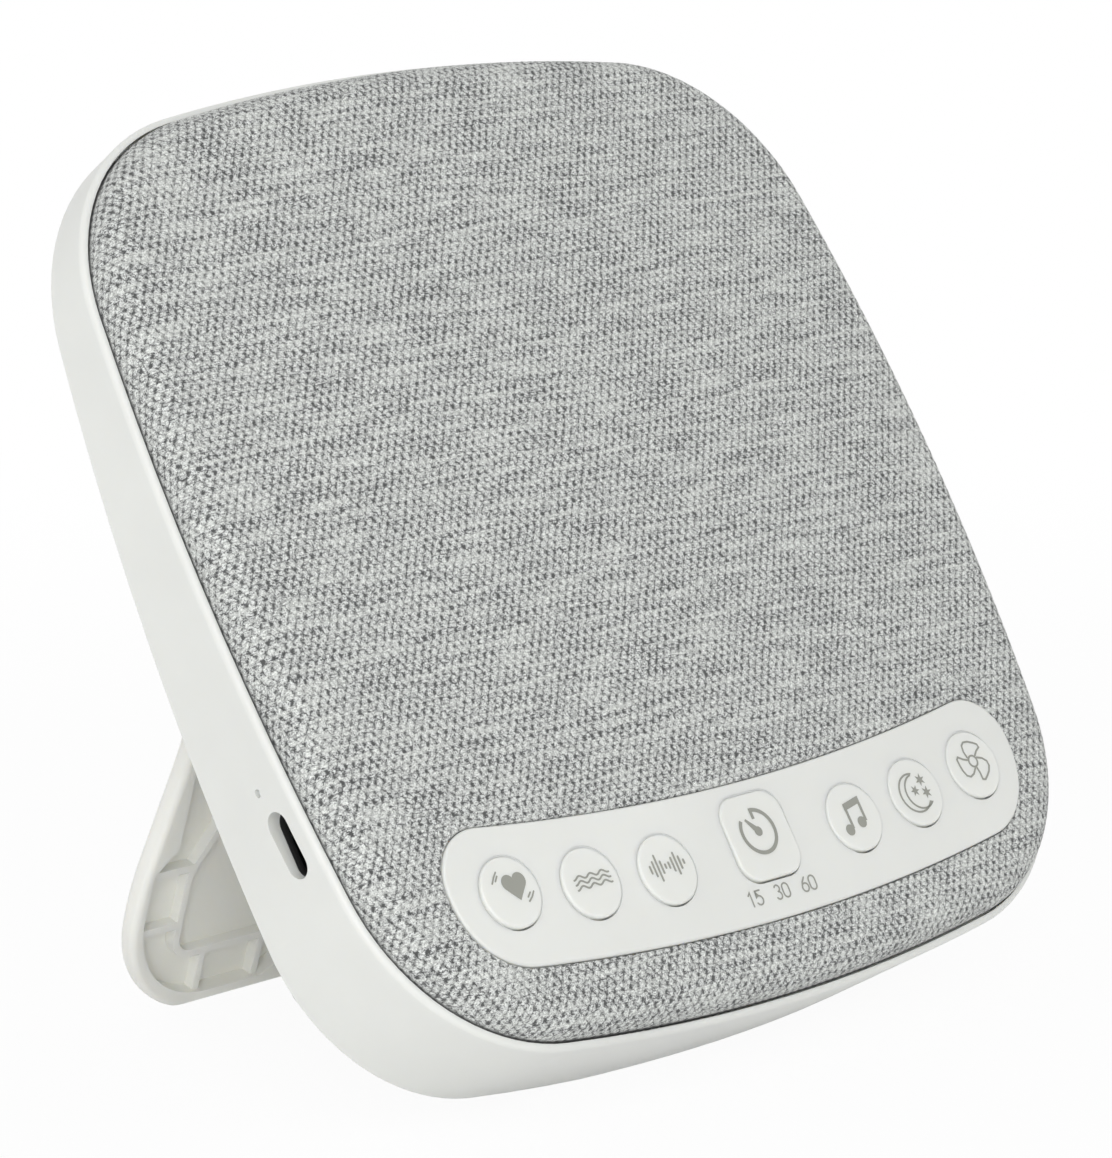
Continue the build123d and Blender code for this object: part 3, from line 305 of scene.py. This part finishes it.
def stroke(points, width, closed=False, cap=True):
    """Loops (one, or both sides when closed) of a line of even width along the points."""
    p = np.asarray(points, float)
    if closed:
        ahead_p, behind_p = np.roll(p, -1, 0), np.roll(p, 1, 0)
    else:
        ahead_p = np.vstack([p[1:], 2 * p[-1] - p[-2]])
        behind_p = np.vstack([2 * p[0] - p[1], p[:-1]])
    into, out = p - behind_p, ahead_p - p
    into = into / np.linalg.norm(into, axis=1)[:, None]
    out = out / np.linalg.norm(out, axis=1)[:, None]
    along = into + out
    along = along / np.linalg.norm(along, axis=1)[:, None]
    # a mitre is widened by the half turn of the corner, but never to a spike
    mitre = 1 / np.maximum((into * along).sum(1), 0.5)
    side = np.stack([-along[:, 1], along[:, 0]], -1) * (width / 2 * mitre)[:, None]
    left_side, right_side = p + side, p - side
    if closed:
        return [left_side, right_side]
    if not cap:
        return [np.vstack([right_side, left_side[::-1]])]
    first = math.degrees(math.atan2(into[0, 1], into[0, 0]))
    last = math.degrees(math.atan2(out[-1, 1], out[-1, 0]))
    head = arc(*p[-1], width / 2, last - 90, last + 90, 8)[1:-1]
    tail = arc(*p[0], width / 2, first + 90, first + 270, 8)[1:-1]
    return [np.vstack([right_side, head, left_side[::-1], tail])]


def marks(name, body, centre, inks, surface):
    """One mesh of ink slabs on a surface: each ink is one outline, or the two loops of a ring."""
    points, faces = [], []
    for order, loops in enumerate(inks):
        top = INK_HEIGHT + order * INK_STEP
        starts = []
        for loop in loops:
            count, first = len(loop), len(points)
            starts.append(first)
            u, v = loop[:, 0] + centre[0], loop[:, 1] + centre[1]
            height = surface(u, v)
            points += list(place(u, v, height + top))
            points += list(place(u, v, height - INK_ROOT))
            for i in range(count):
                j = (i + 1) % count
                faces.append((first + count + i, first + count + j, first + j, first + i))
            if len(loops) == 1:
                faces.append(tuple(range(first, first + count)))
        if len(loops) == 2:
            # a ring's flat top joins its two loops, which have as many points
            left, right = starts
            for i in range(count):
                j = (i + 1) % count
                faces.append((left + i, left + j, right + j, right + i))
    piece(name, points, faces, print_ink, body)


def heart():
    """A filled heart with two pairs of ticks for the beat."""
    lobe, across, rise, point_v = 1.16, 1.0, 1.27, -1.42
    middle_u, tick_width = 1.02, 0.24
    dip = math.degrees(math.acos(across / lobe))
    reach = math.hypot(across, rise - point_v)
    slope = math.degrees(math.atan2(rise - point_v, across))
    tangent = math.degrees(math.acos(lobe / reach))
    right_lobe = arc(middle_u + across, rise, lobe, 180 - dip, slope - 180 + tangent)
    mirrored = right_lobe[::-1] * (-1, 1) + (2 * middle_u, 0)
    outline = np.vstack([right_lobe[::-1], mirrored[::-1], [(middle_u, point_v)]])
    ticks = [
        [(-2.72, 1.72), (-2.05, 2.50), (-1.38, 3.12)], [(-2.02, 1.92), (-1.42, 2.55)],
        [(2.33, -1.88), (3.10, -1.36), (3.72, -0.70)], [(2.42, -1.26), (3.05, -0.72)],
    ]
    return [[outline[::-1]]] + [stroke(tick, tick_width) for tick in ticks]


def waves():
    """Three wavy lines."""
    period, swing, thick, first_crest = 2.15, 0.24, 0.27, 0.25
    u = np.linspace(-3.0, 3.6, 60)
    crest = swing * np.cos(2 * math.pi * (u - first_crest) / period)
    return [stroke(np.stack([u, row + crest], -1), thick) for row in (1.06, 0.33, -0.42)]


def sound_bars():
    """Ten upright bars whose heights swell twice."""
    spacing, thick, first_u, middle_v = 0.716, 0.32, -3.15, 0.46
    bars = []
    for i, tall in enumerate((1.3, 2.4, 4.0, 2.0, 0.8, 1.1, 2.2, 3.4, 2.0, 0.8)):
        u, reach = first_u + i * spacing, tall / 2 - thick / 2
        bars.append(stroke([(u, middle_v - reach), (u, middle_v + reach)], thick))
    return bars


def countdown():
    """A kitchen timer's ring, open at its upper left, with a stub at the top and a hand."""
    cx, cy, radius, thick = -0.16, 0.62, 3.18, 0.58
    stub_width, stub_shift, stub_low, hub = 0.52, 0.05, 1.85, 0.72
    hand_u, hand_v, hand_tip, hand_root = -1.62, 2.02, 0.17, 0.52
    ring = stroke(arc(cx, cy, radius, 90, -218, 72), thick, cap=False)
    stub_ends = [(cx + stub_shift, cy + radius + thick / 2), (cx + stub_shift, cy + stub_low)]
    stub = stroke(stub_ends, stub_width, cap=False)
    blob = [arc(cx, cy, hub, 0, 345, 23)]
    across = math.atan2(hand_v, hand_u) - math.pi / 2
    side = np.array([math.cos(across), math.sin(across)])
    root, tip = np.array([cx, cy]), np.array([cx + hand_u, cy + hand_v])
    hand = [np.array([
        tip - hand_tip * side, root - hand_root * side,
        root + hand_root * side, tip + hand_tip * side,
    ])]
    return [ring, stub, blob, hand]


def notes():
    """Two beamed quavers."""
    left_u, right_u, stem, head = -1.19, 1.80, 0.46, 0.84
    heads = [[arc(cx, cy, head, 0, 345, 23)] for cx, cy in ((-1.95, -1.68), (0.92, -1.0))]
    beam = [np.array([(left_u - stem / 2, 1.15), (right_u + stem / 2, 1.80),
                      (right_u + stem / 2, 2.82), (left_u - stem / 2, 2.17)])]
    stems = [
        stroke([(left_u, -1.62), (left_u, 2.1)], stem, cap=False),
        stroke([(right_u, -0.95), (right_u, 2.6)], stem, cap=False),
    ]
    return heads + stems + [beam]


def star(cx, cy, radius, turn):
    """A six-pointed star with hollow sides."""
    at = np.radians(turn + 30.0 * np.arange(12))
    r = np.where(np.arange(12) % 2 == 0, radius, radius * 0.42)
    return [np.stack([cx + r * np.cos(at), cy + r * np.sin(at)], -1)]


OUTLINE = 0.29  # width of the lines of the outlined signs


def night():
    """An outlined crescent moon and three stars."""
    outer = arc(-0.35, -0.11, 2.92, 78, 322, 60)
    inner = arc(0.62, -0.02, 2.62, 102, 310, 50)
    crescent = stroke(np.vstack([outer, inner[::-1]]), OUTLINE, closed=True)
    stars = ((1.75, 1.55, 0.98, 18), (-0.10, 0.18, 0.88, 0), (2.02, -0.45, 0.98, 12))
    return [crescent] + [star(*one) for one in stars]


def fan():
    """An outlined fan: a hub and three blades."""
    hub_u, hub_v, hub = 0.19, 0.42, 0.86
    blade = np.array([(-0.86, 0.72), (-1.10, 1.70), (-0.95, 2.62), (-0.35, 3.05), (0.55, 3.0),
                      (1.50, 2.65), (2.22, 2.28), (2.34, 1.78), (1.45, 1.28), (0.86, 0.72)])
    inks = [stroke(arc(hub_u, hub_v, hub, 0, 345, 23), OUTLINE, closed=True)]
    for turn in (0, -120, -240):
        c, s = math.cos(math.radians(turn)), math.sin(math.radians(turn))
        path = np.stack([blade[:, 0] * c - blade[:, 1] * s, blade[:, 0] * s + blade[:, 1] * c], -1)
        inks.append(stroke(path + (hub_u, hub_v), OUTLINE))
    return inks


DIGIT_HEIGHT, DIGIT_WIDTH, DIGIT_LINE = 2.05, 1.22, 0.24


def digit(character, cx, cy):
    """A thin rounded digit, as strokes round its middle."""
    top, low, r = cy + DIGIT_HEIGHT / 2, cy - DIGIT_HEIGHT / 2, DIGIT_WIDTH / 2
    if character == "1":
        lines = [[(cx - 0.30, top - 0.42), (cx + 0.12, top), (cx + 0.12, low)]]
    elif character == "0":
        upper, lower = arc(cx, top - r, r, 0, 180, 12), arc(cx, low + r, r, 180, 360, 12)
        return [stroke(np.vstack([upper, lower]), DIGIT_LINE, closed=True)]
    elif character == "3":
        upper, lower = DIGIT_HEIGHT * 0.235, DIGIT_HEIGHT * 0.265
        lines = [np.vstack([arc(cx, top - upper, upper, 150, -80, 14),
                            arc(cx, low + lower, lower, 80, -150, 16)])]
    elif character == "5":
        bowl = DIGIT_HEIGHT * 0.32
        lines = [np.vstack([[(cx + 0.48, top), (cx - 0.42, top), (cx - 0.52, cy + 0.10)],
                            arc(cx - 0.05, low + bowl, bowl, 130, -150, 18)])]
    else:
        bowl = DIGIT_HEIGHT * 0.30
        ring = arc(cx, low + bowl, bowl, 150, 480, 22)
        lines = [np.vstack([[(cx + 0.28, top), (cx - 0.28, cy + 0.42)], ring[:1]]), ring]
    return [stroke(line, DIGIT_LINE) for line in lines]


# ---------------------------------------------------------------- key webs
# A thin moulded web closes the gap round each key. It lies shallow, and deeper below the key.
WEB_SHALLOW, WEB_DEEP, WEB_LOWEST = 0.10, 3.0, math.radians(-86)
WEB_INNER, WEB_OUTER, WEB_THICKNESS = 0.015, 0.30, 0.25
ROUND_CRESCENT, TIMER_CRESCENT = 24, 6
KEY_RADIUS = 5.1
TIMER_WIDTH, TIMER_LENGTH, TIMER_CORNER = 12.2, 12.6, 3.4


def key_loop(key, grow):
    """Outline of a key moved outwards by grow, round its own centre."""
    if key != "key_timer":
        return arc(0, 0, KEY_RADIUS + grow, 0, 357, 119)
    x, y = TIMER_WIDTH / 2 - TIMER_CORNER, TIMER_LENGTH / 2 - TIMER_CORNER
    corners = ((x, y, 0), (-x, y, 90), (-x, -y, 180), (x, -y, 270))
    return np.vstack([
        arc(cx, cy, TIMER_CORNER + grow, turn, turn + 90, 20) for cx, cy, turn in corners
    ])


def key_web(key):
    """A ring between two outlines of the key, with a top and a bottom."""
    points, faces = [], []
    narrow = TIMER_CRESCENT if key == "key_timer" else ROUND_CRESCENT
    for loop in (key_loop(key, WEB_INNER), key_loop(key, WEB_OUTER)):
        count = len(loop)
        facing = np.cos(np.arctan2(loop[:, 1], loop[:, 0]) - WEB_LOWEST)
        depth = WEB_SHALLOW + WEB_DEEP * np.clip(facing, 0, 1) ** narrow
        u, v = loop[:, 0] + KEYS[key][0], loop[:, 1] + KEYS[key][1]
        for lower in (0.0, WEB_THICKNESS):
            points += list(place(u, v, dome(u, v) + PANEL_PROUD - depth - lower))
    # rings of points: inner top, inner bottom, outer top, outer bottom
    for i in range(count):
        j = (i + 1) % count
        for a, b in ((0, 2), (3, 1), (1, 0), (2, 3)):
            faces.append((a * count + i, a * count + j, b * count + j, b * count + i))
    piece("web_" + key, points, faces, panel_plastic, "body")


for key in KEYS:
    key_web(key)


ICONS = {
    "key_heartbeat": heart, "key_waves": waves, "key_white_noise": sound_bars,
    "key_timer": countdown, "key_music": notes, "key_night": night, "key_fan": fan,
}
for key, draw in ICONS.items():
    key_top = float(dome(*KEYS[key])) + PANEL_PROUD + KEY_PROUD
    marks("icon_" + key.removeprefix("key_"), key, KEYS[key], draw(),
          lambda u, v: np.full(u.shape, key_top))

NUMERAL_ROW, NUMERAL_SPACING, DIGIT_SPACING = -58.95, 5.5, 1.62
for order, numeral in enumerate(("15", "30", "60")):
    inks = []
    for i, character in enumerate(numeral):
        inks += digit(character, (i - 0.5) * DIGIT_SPACING, 0.0)
    marks("numeral_" + numeral, "body", ((order - 1) * NUMERAL_SPACING, NUMERAL_ROW), inks,
          lambda u, v: dome(u, v) + PANEL_PROUD)

# ---------------------------------------------------------------- painted shade in the port
# A black sleeve in the bore round the charging port's mouth, on the left side wall: painted shade,
# a dark sheet standing in for the shade inside the bore.
PORT_UP, PORT_DEPTH, PORT_MOUTH = -32.6, -4.5, -68.311
SLOT_LENGTH, SLOT_RADIUS, SLEEVE_FIT, SLEEVE_WALL = 9.6, 2.0, 0.03, 0.15
SLEEVE_IN, SLEEVE_OUT = 0.3, 0.6


def slot_loop(radius):
    """Outline of a slot round the port, as (up the wall, out of the front)."""
    reach = SLOT_LENGTH / 2 - SLOT_RADIUS
    return np.vstack([arc(reach, 0, radius, -90, 90, 20), arc(-reach, 0, radius, 90, 270, 20)])


def port_shade_sleeve():
    """A black sleeve of painted shade from behind the port's mouth to a little way out of it."""
    outer = slot_loop(SLOT_RADIUS - SLEEVE_FIT)
    inner = slot_loop(SLOT_RADIUS - SLEEVE_FIT - SLEEVE_WALL)
    points, faces, count = [], [], len(outer)
    rings = ((outer, -SLEEVE_OUT), (inner, -SLEEVE_OUT), (inner, SLEEVE_IN), (outer, SLEEVE_IN))
    for loop, across in rings:
        u = np.full(count, PORT_MOUTH + across)
        points += list(place(u, loop[:, 0] + PORT_UP, loop[:, 1] + PORT_DEPTH))
    for ring in range(4):
        a, b = ring * count, (ring + 1) % 4 * count
        for i in range(count):
            j = (i + 1) % count
            faces.append((a + i, a + j, b + j, b + i))
    piece("port_shade_sleeve", points, faces, black_plastic, "body")


port_shade_sleeve()

# ---------------------------------------------------------------- knitted cover
# Stitches stand in a staggered lattice: columns 0.74 mm apart, rows 1.11 mm apart.
COLUMN, ROW = 0.742, 1.11
POINTS_PER_COLUMN, POINTS_PER_ROW = 3, 4
COARSER = 1
HOLE_ACROSS, HOLE_UP, HOLE_DEPTH = 0.26, 0.40, 0.20
PLY_RISE, PLY_SWAY = 0.03, 0.35
CLOTH_MARGIN, RIM_DROP, HEM_DROP = 5.3, 2.6, 1.6
CLOTH_SINK = 0.06
PANEL_GAP, HEM_RADIUS = 0.06, 0.28
# the hem gets painted seam shade below this height above the seam, growing over this fade
TUCK_HEIGHT, TUCK_FADE = 0.8, 0.5
CLOTH_SPAN = 200.0  # millimetres of cloth across the whole texture square


def knit_height(a, b):
    """Relief of the knit, in millimetres, at flat cloth coordinates."""
    row = b / ROW
    k = np.round(row)
    hole = 0.0
    # the row's own holes, and those of its neighbours that reach in
    for step in (0, -1, 1):
        phase = a / (2 * COLUMN) + 0.5 * ((k + step) % 2)
        across = (phase - np.round(phase)) * 2 * COLUMN
        up = (row - k - step) * ROW
        hole = hole + np.exp(-((across / HOLE_ACROSS) ** 2) - ((up / HOLE_UP) ** 2))
    sway = PLY_SWAY * np.sin(2 * math.pi * b / ROW)
    ply = 0.5 + 0.5 * np.cos(2 * math.pi * (a / COLUMN + sway))
    return PLY_RISE * ply - HOLE_DEPTH * hole


def rolled(past, radius, end):
    """Turn and drop of cloth that rolls over an edge of this radius, at lengths past its start."""
    over = np.clip(past, 0, end)
    turn = np.minimum(over / radius, math.pi / 2)
    drop = radius * (1 - np.cos(turn)) + np.maximum(over - radius * math.pi / 2, 0)
    return turn, np.where(past > 0, drop, 0.0)


def knit_cover():
    """The cloth as a grid of flat points, stretched over the pad and tucked in at its edges."""
    step_a, step_b = COLUMN / POINTS_PER_COLUMN * COARSER, ROW / POINTS_PER_ROW * COARSER
    na = int(math.ceil((HALF_WIDTH + CLOTH_MARGIN) / step_a))
    nb = int(math.ceil((HALF_HEIGHT + CLOTH_MARGIN) / step_b))
    a, b = np.meshgrid(np.arange(-na, na + 1) * step_a, np.arange(-nb, nb + 1) * step_b)
    # over the pad's edge and down its side
    d, nx, ny = pillow(a, b)
    rim = d + EDGE_RADIUS
    rim_end = EDGE_RADIUS * math.pi / 2 + RIM_DROP
    rim_turn, rim_drop = rolled(rim, EDGE_RADIUS, rim_end)
    rim_back = np.where(rim > 0, EDGE_RADIUS * np.sin(rim_turn) - rim, 0.0)
    # and into the gap round the control panel
    e, mx, my = band(a, b)
    hem = HEM_RADIUS - (e - PANEL_GAP)
    hem_end = HEM_RADIUS * math.pi / 2 + HEM_DROP
    hem_turn, hem_drop = rolled(hem, HEM_RADIUS, hem_end)
    hem_back = np.where(hem > 0, hem - HEM_RADIUS * np.sin(hem_turn), 0.0)
    u = a + nx * rim_back + mx * hem_back
    v = b + ny * rim_back + my * hem_back
    w = dome(u, v) - rim_drop - hem_drop
    # outward direction of the cloth, for the relief
    hx = np.where(hem > 0, -mx, nx)
    hy = np.where(hem > 0, -my, ny)
    lean = np.where(hem > 0, hem_turn, rim_turn)
    relief = knit_height(a, b) - CLOTH_SINK
    points = place(
        u + hx * np.sin(lean) * relief, v + hy * np.sin(lean) * relief, w + np.cos(lean) * relief,
    )
    keep = (rim < rim_end + step_a) & (hem < hem_end + step_a)
    index = np.arange(a.size).reshape(a.shape)
    whole = keep[:-1, :-1] & keep[1:, :-1] & keep[:-1, 1:] & keep[1:, 1:]
    quads = np.stack([index[:-1, :-1], index[:-1, 1:], index[1:, 1:], index[1:, :-1]], -1)[whole]
    used = np.unique(quads)
    new_index = np.full(a.size, -1)
    new_index[used] = np.arange(len(used))
    loops = new_index[quads].ravel()
    data = bpy.data.meshes.new("knit_cover")
    data.vertices.add(len(used))
    data.vertices.foreach_set("co", points.reshape(-1, 3)[used].astype(np.float32).ravel())
    data.loops.add(len(loops))
    data.loops.foreach_set("vertex_index", loops.astype(np.int32))
    data.polygons.add(len(quads))
    data.polygons.foreach_set("loop_start", np.arange(0, len(loops), 4, dtype=np.int32))
    data.update(calc_edges=True)
    data.shade_smooth()
    flat = data.uv_layers.new(name="cloth")
    ab = np.stack([a.ravel()[used], b.ravel()[used]], -1)[loops]
    flat.data.foreach_set("uv", (ab / CLOTH_SPAN + 0.5).astype(np.float32).ravel())
    # how far a point is tucked into a seam, by its height; this drives the painted shade of the
    # seam
    tucked = np.clip((TUCK_HEIGHT - w) / TUCK_FADE, 0, 1)
    painted_seam_shade = data.attributes.new("painted_seam_shade", "FLOAT", "POINT")
    painted_seam_shade.data.foreach_set("value", tucked.ravel()[used].astype(np.float32))
    obj = bpy.data.objects.new("knit_cover", data)
    collection.objects.link(obj)
    return obj


KNIT_LIGHT, KNIT_MIDDLE = (0.96, 0.98, 0.955), (0.80, 0.82, 0.80)
KNIT_SHADE, KNIT_DARK = (0.46, 0.47, 0.46), (0.050, 0.052, 0.052)
GAP_ACROSS, GAP_UP, GAP_SLANT, LEG_WIDTH = 0.28, 0.42, 1.1, 0.075
EULER = 2.718
FIBRE_RELIEF, KNIT_BUMP, KNIT_DEPTH = 0.5, 0.6, 0.00014  # the depth in metres


def knit_material():
    """Melange yarn: pale plies, dark gaps and legs between stitches, pale slubs along the rows, and
    painted shade where the hem tucks into the seam.
    """
    m, tree, shader = material("knit_melange")
    uv = node(tree, "ShaderNodeUVMap", uv_map="cloth").outputs["UV"]

    def maths(op, x, y=None):
        inputs = {0: x} if y is None else {0: x, 1: y}
        return node(tree, "ShaderNodeMath", inputs, operation=op).outputs[0]

    def vector(op, x, y):
        return node(tree, "ShaderNodeVectorMath", {0: x, 1: y}, operation=op).outputs[0]

    def noise(at, scale, detail=2.0, rough=0.5):
        mapped = node(tree, "ShaderNodeMapping", {"Vector": at, "Scale": scale}).outputs[0]
        inputs = {"Vector": mapped, "Scale": 1.0, "Detail": detail, "Roughness": rough}
        return node(tree, "ShaderNodeTexNoise", inputs).outputs

    def bell(square):
        """1 where the square is nothing, falling off to all sides."""
        return maths("POWER", EULER, square)

    # cloth coordinates in millimetres, then bent as a real knit wanders
    half = CLOTH_SPAN / 2
    flat = vector("ADD", vector("MULTIPLY", uv, (CLOTH_SPAN, CLOTH_SPAN, 0.0)), (-half, -half, 0.0))
    drift = vector("ADD", noise(flat, (0.25, 0.25, 1.0))["Color"], (-0.5, -0.5, 0.0))
    wander = vector("ADD", noise(flat, (1.9, 1.9, 1.0), 3.0, 0.6)["Color"], (-0.5, -0.5, 0.0))
    bent = vector("ADD", flat, vector("MULTIPLY", drift, (0.5, 0.9, 0.0)))
    bent = vector("ADD", bent, vector("MULTIPLY", wander, (0.62, 0.50, 0.0)))
    bent_parts = node(tree, "ShaderNodeSeparateXYZ", {0: bent}).outputs

    # the staggered lattice of the gaps
    row = maths("DIVIDE", bent_parts["Y"], ROW)
    k = maths("ROUND", row)
    along = maths("DIVIDE", bent_parts["X"], 2 * COLUMN)
    phase = maths("ADD", along, maths("MULTIPLY", k, 0.5))
    cell = maths("ROUND", phase)
    # each gap has its own darkness and slant
    cell_name = node(tree, "ShaderNodeCombineXYZ", {"X": cell, "Y": k}).outputs[0]
    own = node(tree, "ShaderNodeTexWhiteNoise", {"Vector": cell_name}, noise_dimensions="2D")
    traits = node(tree, "ShaderNodeSeparateColor", {0: own.outputs["Color"]}).outputs
    across = maths("MULTIPLY", maths("SUBTRACT", phase, cell), 2 * COLUMN / GAP_ACROSS)
    up = maths("MULTIPLY", maths("SUBTRACT", row, k), ROW / GAP_UP)
    slant = maths("MULTIPLY", maths("SUBTRACT", traits["Red"], 0.62), GAP_SLANT)
    across = maths("ADD", across, maths("MULTIPLY", up, slant))
    square = maths("ADD", maths("MULTIPLY", across, across), maths("MULTIPLY", up, up))
    gap = bell(maths("MULTIPLY", square, -1.0))
    # the legs of the stitches run between the gaps on both diagonals
    rise = maths("MULTIPLY", row, 0.5)
    legs = []
    for turn in ("ADD", "SUBTRACT"):
        diagonal = maths(turn, along, rise)
        off = maths("SUBTRACT", diagonal, maths("ROUND", diagonal))
        legs.append(bell(maths("MULTIPLY", maths("MULTIPLY", off, off), -1 / LEG_WIDTH**2)))
    broken = spread(tree, noise(flat, (1.7, 2.1, 1.0), 3.0, 0.65)["Fac"], 0.40, 0.62, 0.0, 0.95)
    leg = maths("MULTIPLY", maths("MAXIMUM", legs[0], legs[1]), broken)
    # short dark fibres: along the rows, and in specks
    streak = spread(tree, noise(bent, (0.9, 3.6, 1.0), 2.0, 0.6)["Fac"], 0.52, 0.66, 0.0, 1.0)
    speck = spread(tree, noise(bent, (3.5, 3.2, 1.0), 2.0, 0.7)["Fac"], 0.49, 0.62, 0.0, 1.0)
    # pale slubs: long along the rows
    slub = noise(flat, (0.085, 0.95, 1.0), 2.0, 0.55)["Fac"]
    fade = spread(tree, slub, 0.36, 0.68, 1.15, 0.52)
    dark = maths("MULTIPLY", gap, maths("ADD", 0.55, maths("MULTIPLY", traits["Green"], 0.65)))
    dark = maths("MAXIMUM", dark, leg)
    dark = maths("ADD", dark, maths("MULTIPLY", maths("MAXIMUM", streak, speck), 0.75))
    dark = maths("MULTIPLY", dark, fade)
    # painted shade: the hem is darkened where it tucks into the seam, where shade falls
    painted_seam_shade = node(tree, "ShaderNodeAttribute", attribute_name="painted_seam_shade").outputs["Fac"]
    dark = maths("MAXIMUM", dark, maths("MULTIPLY", painted_seam_shade, 0.9))
    # pale fibres under the dark ones
    fibre = noise(bent, (3.2, 7.5, 1.0), 4.0, 0.75)["Fac"]
    base = ramp(tree, fibre, [(0.37, KNIT_SHADE), (0.49, KNIT_MIDDLE), (0.60, KNIT_LIGHT)])
    shade = ramp(tree, slub, [(0.35, (0.97, 0.97, 0.98)), (0.65, (1.0, 1.0, 0.99))])
    pale = node(
        tree, "ShaderNodeMix", {"Factor": 1.0, "A": base, "B": shade},
        data_type="RGBA", blend_type="MULTIPLY",
    ).outputs["Result"]
    yarn = node(
        tree, "ShaderNodeMix",
        {"Factor": maths("MINIMUM", dark, 0.93), "A": pale, "B": (*KNIT_DARK, 1.0)},
        data_type="RGBA", clamp_factor=True,
    ).outputs["Result"]
    tree.links.new(yarn, shader.inputs["Base Color"])
    shader.inputs["Roughness"].default_value = 0.92
    shader.inputs["Specular IOR Level"].default_value = 0.25
    shader.inputs["Sheen Weight"].default_value = 0.15
    shader.inputs["Sheen Roughness"].default_value = 0.5
    height = maths("SUBTRACT", maths("MULTIPLY", fibre, FIBRE_RELIEF), dark)
    bump = node(
        tree, "ShaderNodeBump",
        {"Height": height, "Strength": KNIT_BUMP, "Distance": KNIT_DEPTH},
    )
    tree.links.new(bump.outputs["Normal"], shader.inputs["Normal"])
    return m


cover = knit_cover()
cover.data.materials.append(knit_material())
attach(cover, "body")
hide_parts("fabric_cover")

# ---------------------------------------------------------------- floor and surroundings
FLOOR_REACH = 6.0
# the paper shows as this share of plain white near the object, and as all white further off
NEAR, FAR, NEAR_SHARE = 0.16, 0.45, 0.94
ROOM_LIGHT = 0.62


def seen_directly(tree):
    """1 for rays of the camera and for mirrored and transmitted ones, 0 for those that light."""
    path = node(tree, "ShaderNodeLightPath").outputs
    pair = {0: path["Is Camera Ray"], 1: path["Is Glossy Ray"]}
    seen = node(tree, "ShaderNodeMath", pair, operation="MAXIMUM").outputs[0]
    pair = {0: seen, 1: path["Is Transmission Ray"]}
    return node(tree, "ShaderNodeMath", pair, operation="MAXIMUM").outputs[0]


floor_data = bpy.data.meshes.new("floor")
floor_data.from_pydata(
    [(-FLOOR_REACH, -FLOOR_REACH, 0), (FLOOR_REACH, -FLOOR_REACH, 0),
     (FLOOR_REACH, FLOOR_REACH, 0), (-FLOOR_REACH, FLOOR_REACH, 0)],
    [], [(0, 1, 2, 3)],
)
floor = bpy.data.objects.new("floor", floor_data)
collection.objects.link(floor)
paper, tree, shader = material("floor_white")
spot = node(tree, "ShaderNodeTexCoord").outputs["Object"]
away = node(tree, "ShaderNodeVectorMath", {0: spot}, operation="LENGTH").outputs["Value"]
fleck = node(tree, "ShaderNodeTexNoise", {"Vector": spot, "Scale": 30.0, "Detail": 3.0})
paint = ramp(tree, fleck.outputs["Fac"], [(0.3, (0.90, 0.90, 0.90)), (0.7, (0.92, 0.92, 0.92))])
tree.links.new(paint, shader.inputs["Base Color"])
shader.inputs["Roughness"].default_value = 0.9
shader.inputs["Specular IOR Level"].default_value = 0.0
plain = spread(tree, away, NEAR, FAR, NEAR_SHARE, 1.0, interpolation_type="SMOOTHSTEP")
share = node(tree, "ShaderNodeMath", {0: seen_directly(tree), 1: plain}, operation="MULTIPLY")
glow = node(tree, "ShaderNodeEmission", {"Color": (1.0, 1.0, 1.0, 1.0), "Strength": 1.0})
both = node(
    tree, "ShaderNodeMixShader",
    {0: share.outputs[0], 1: shader.outputs["BSDF"], 2: glow.outputs["Emission"]},
)
tree.links.new(both.outputs["Shader"], tree.nodes["Material Output"].inputs["Surface"])
floor_data.materials.append(paper)

world = bpy.data.worlds.new("studio")
scene.world = world
world.use_nodes = True
tree = world.node_tree
background = tree.nodes["Background"]
strength = spread(tree, seen_directly(tree), 0.0, 1.0, ROOM_LIGHT, 1.0)
tree.links.new(strength, background.inputs["Strength"])
background.inputs["Color"].default_value = (1.0, 1.0, 1.0, 1.0)

# ---------------------------------------------------------------- lamps
MIDDLE, LOW_MIDDLE = (0.0, 0.02, 0.07), (0.0, 0.02, 0.04)
LAMPS = {
    # name: place, aim, size in metres, power in watts
    "key_light": ((-0.9, -0.9, 1.5), MIDDLE, 1.0, 4.5),
    "fill_light": ((1.2, -1.0, 0.9), MIDDLE, 1.2, 1.5),
    "rear_light": ((-0.6, 1.4, 1.2), MIDDLE, 1.2, 2.0),
    "low_light": ((-0.85, -0.72, 0.30), LOW_MIDDLE, 0.55, 4.6),
}
for name, (at, aim, size, power) in LAMPS.items():
    light = bpy.data.lights.new(name, "AREA")
    light.shape = "DISK"
    light.size = size
    light.energy = power
    obj = bpy.data.objects.new(name, light)
    collection.objects.link(obj)
    obj.location = at
    obj.rotation_euler = (Vector(aim) - Vector(at)).to_track_quat("-Z", "Y").to_euler()

# ---------------------------------------------------------------- camera
FOCAL_PIXELS, PHOTO_HEIGHT, SENSOR = 5587.15, 1158, 36.0
CAMERA_AT = (-0.55479, -0.51206, 0.23467)
CAMERA_RIGHT = (0.69727781, -0.71680091, -0.00033023)
CAMERA_AHEAD = (0.69974567, 0.68078684, -0.2165301)

camera_data = bpy.data.cameras.new("camera")
camera = bpy.data.objects.new("camera", camera_data)
collection.objects.link(camera)
scene.camera = camera
camera_data.sensor_width = SENSOR
camera_data.lens = FOCAL_PIXELS / PHOTO_HEIGHT * SENSOR
camera_data.clip_start = 0.01
camera.location = CAMERA_AT
right, ahead = Vector(CAMERA_RIGHT).normalized(), Vector(CAMERA_AHEAD).normalized()
upward = right.cross(ahead).normalized()
camera.rotation_euler = Matrix((right, upward, -ahead)).transposed().to_euler()

scene.view_settings.view_transform = "Standard"
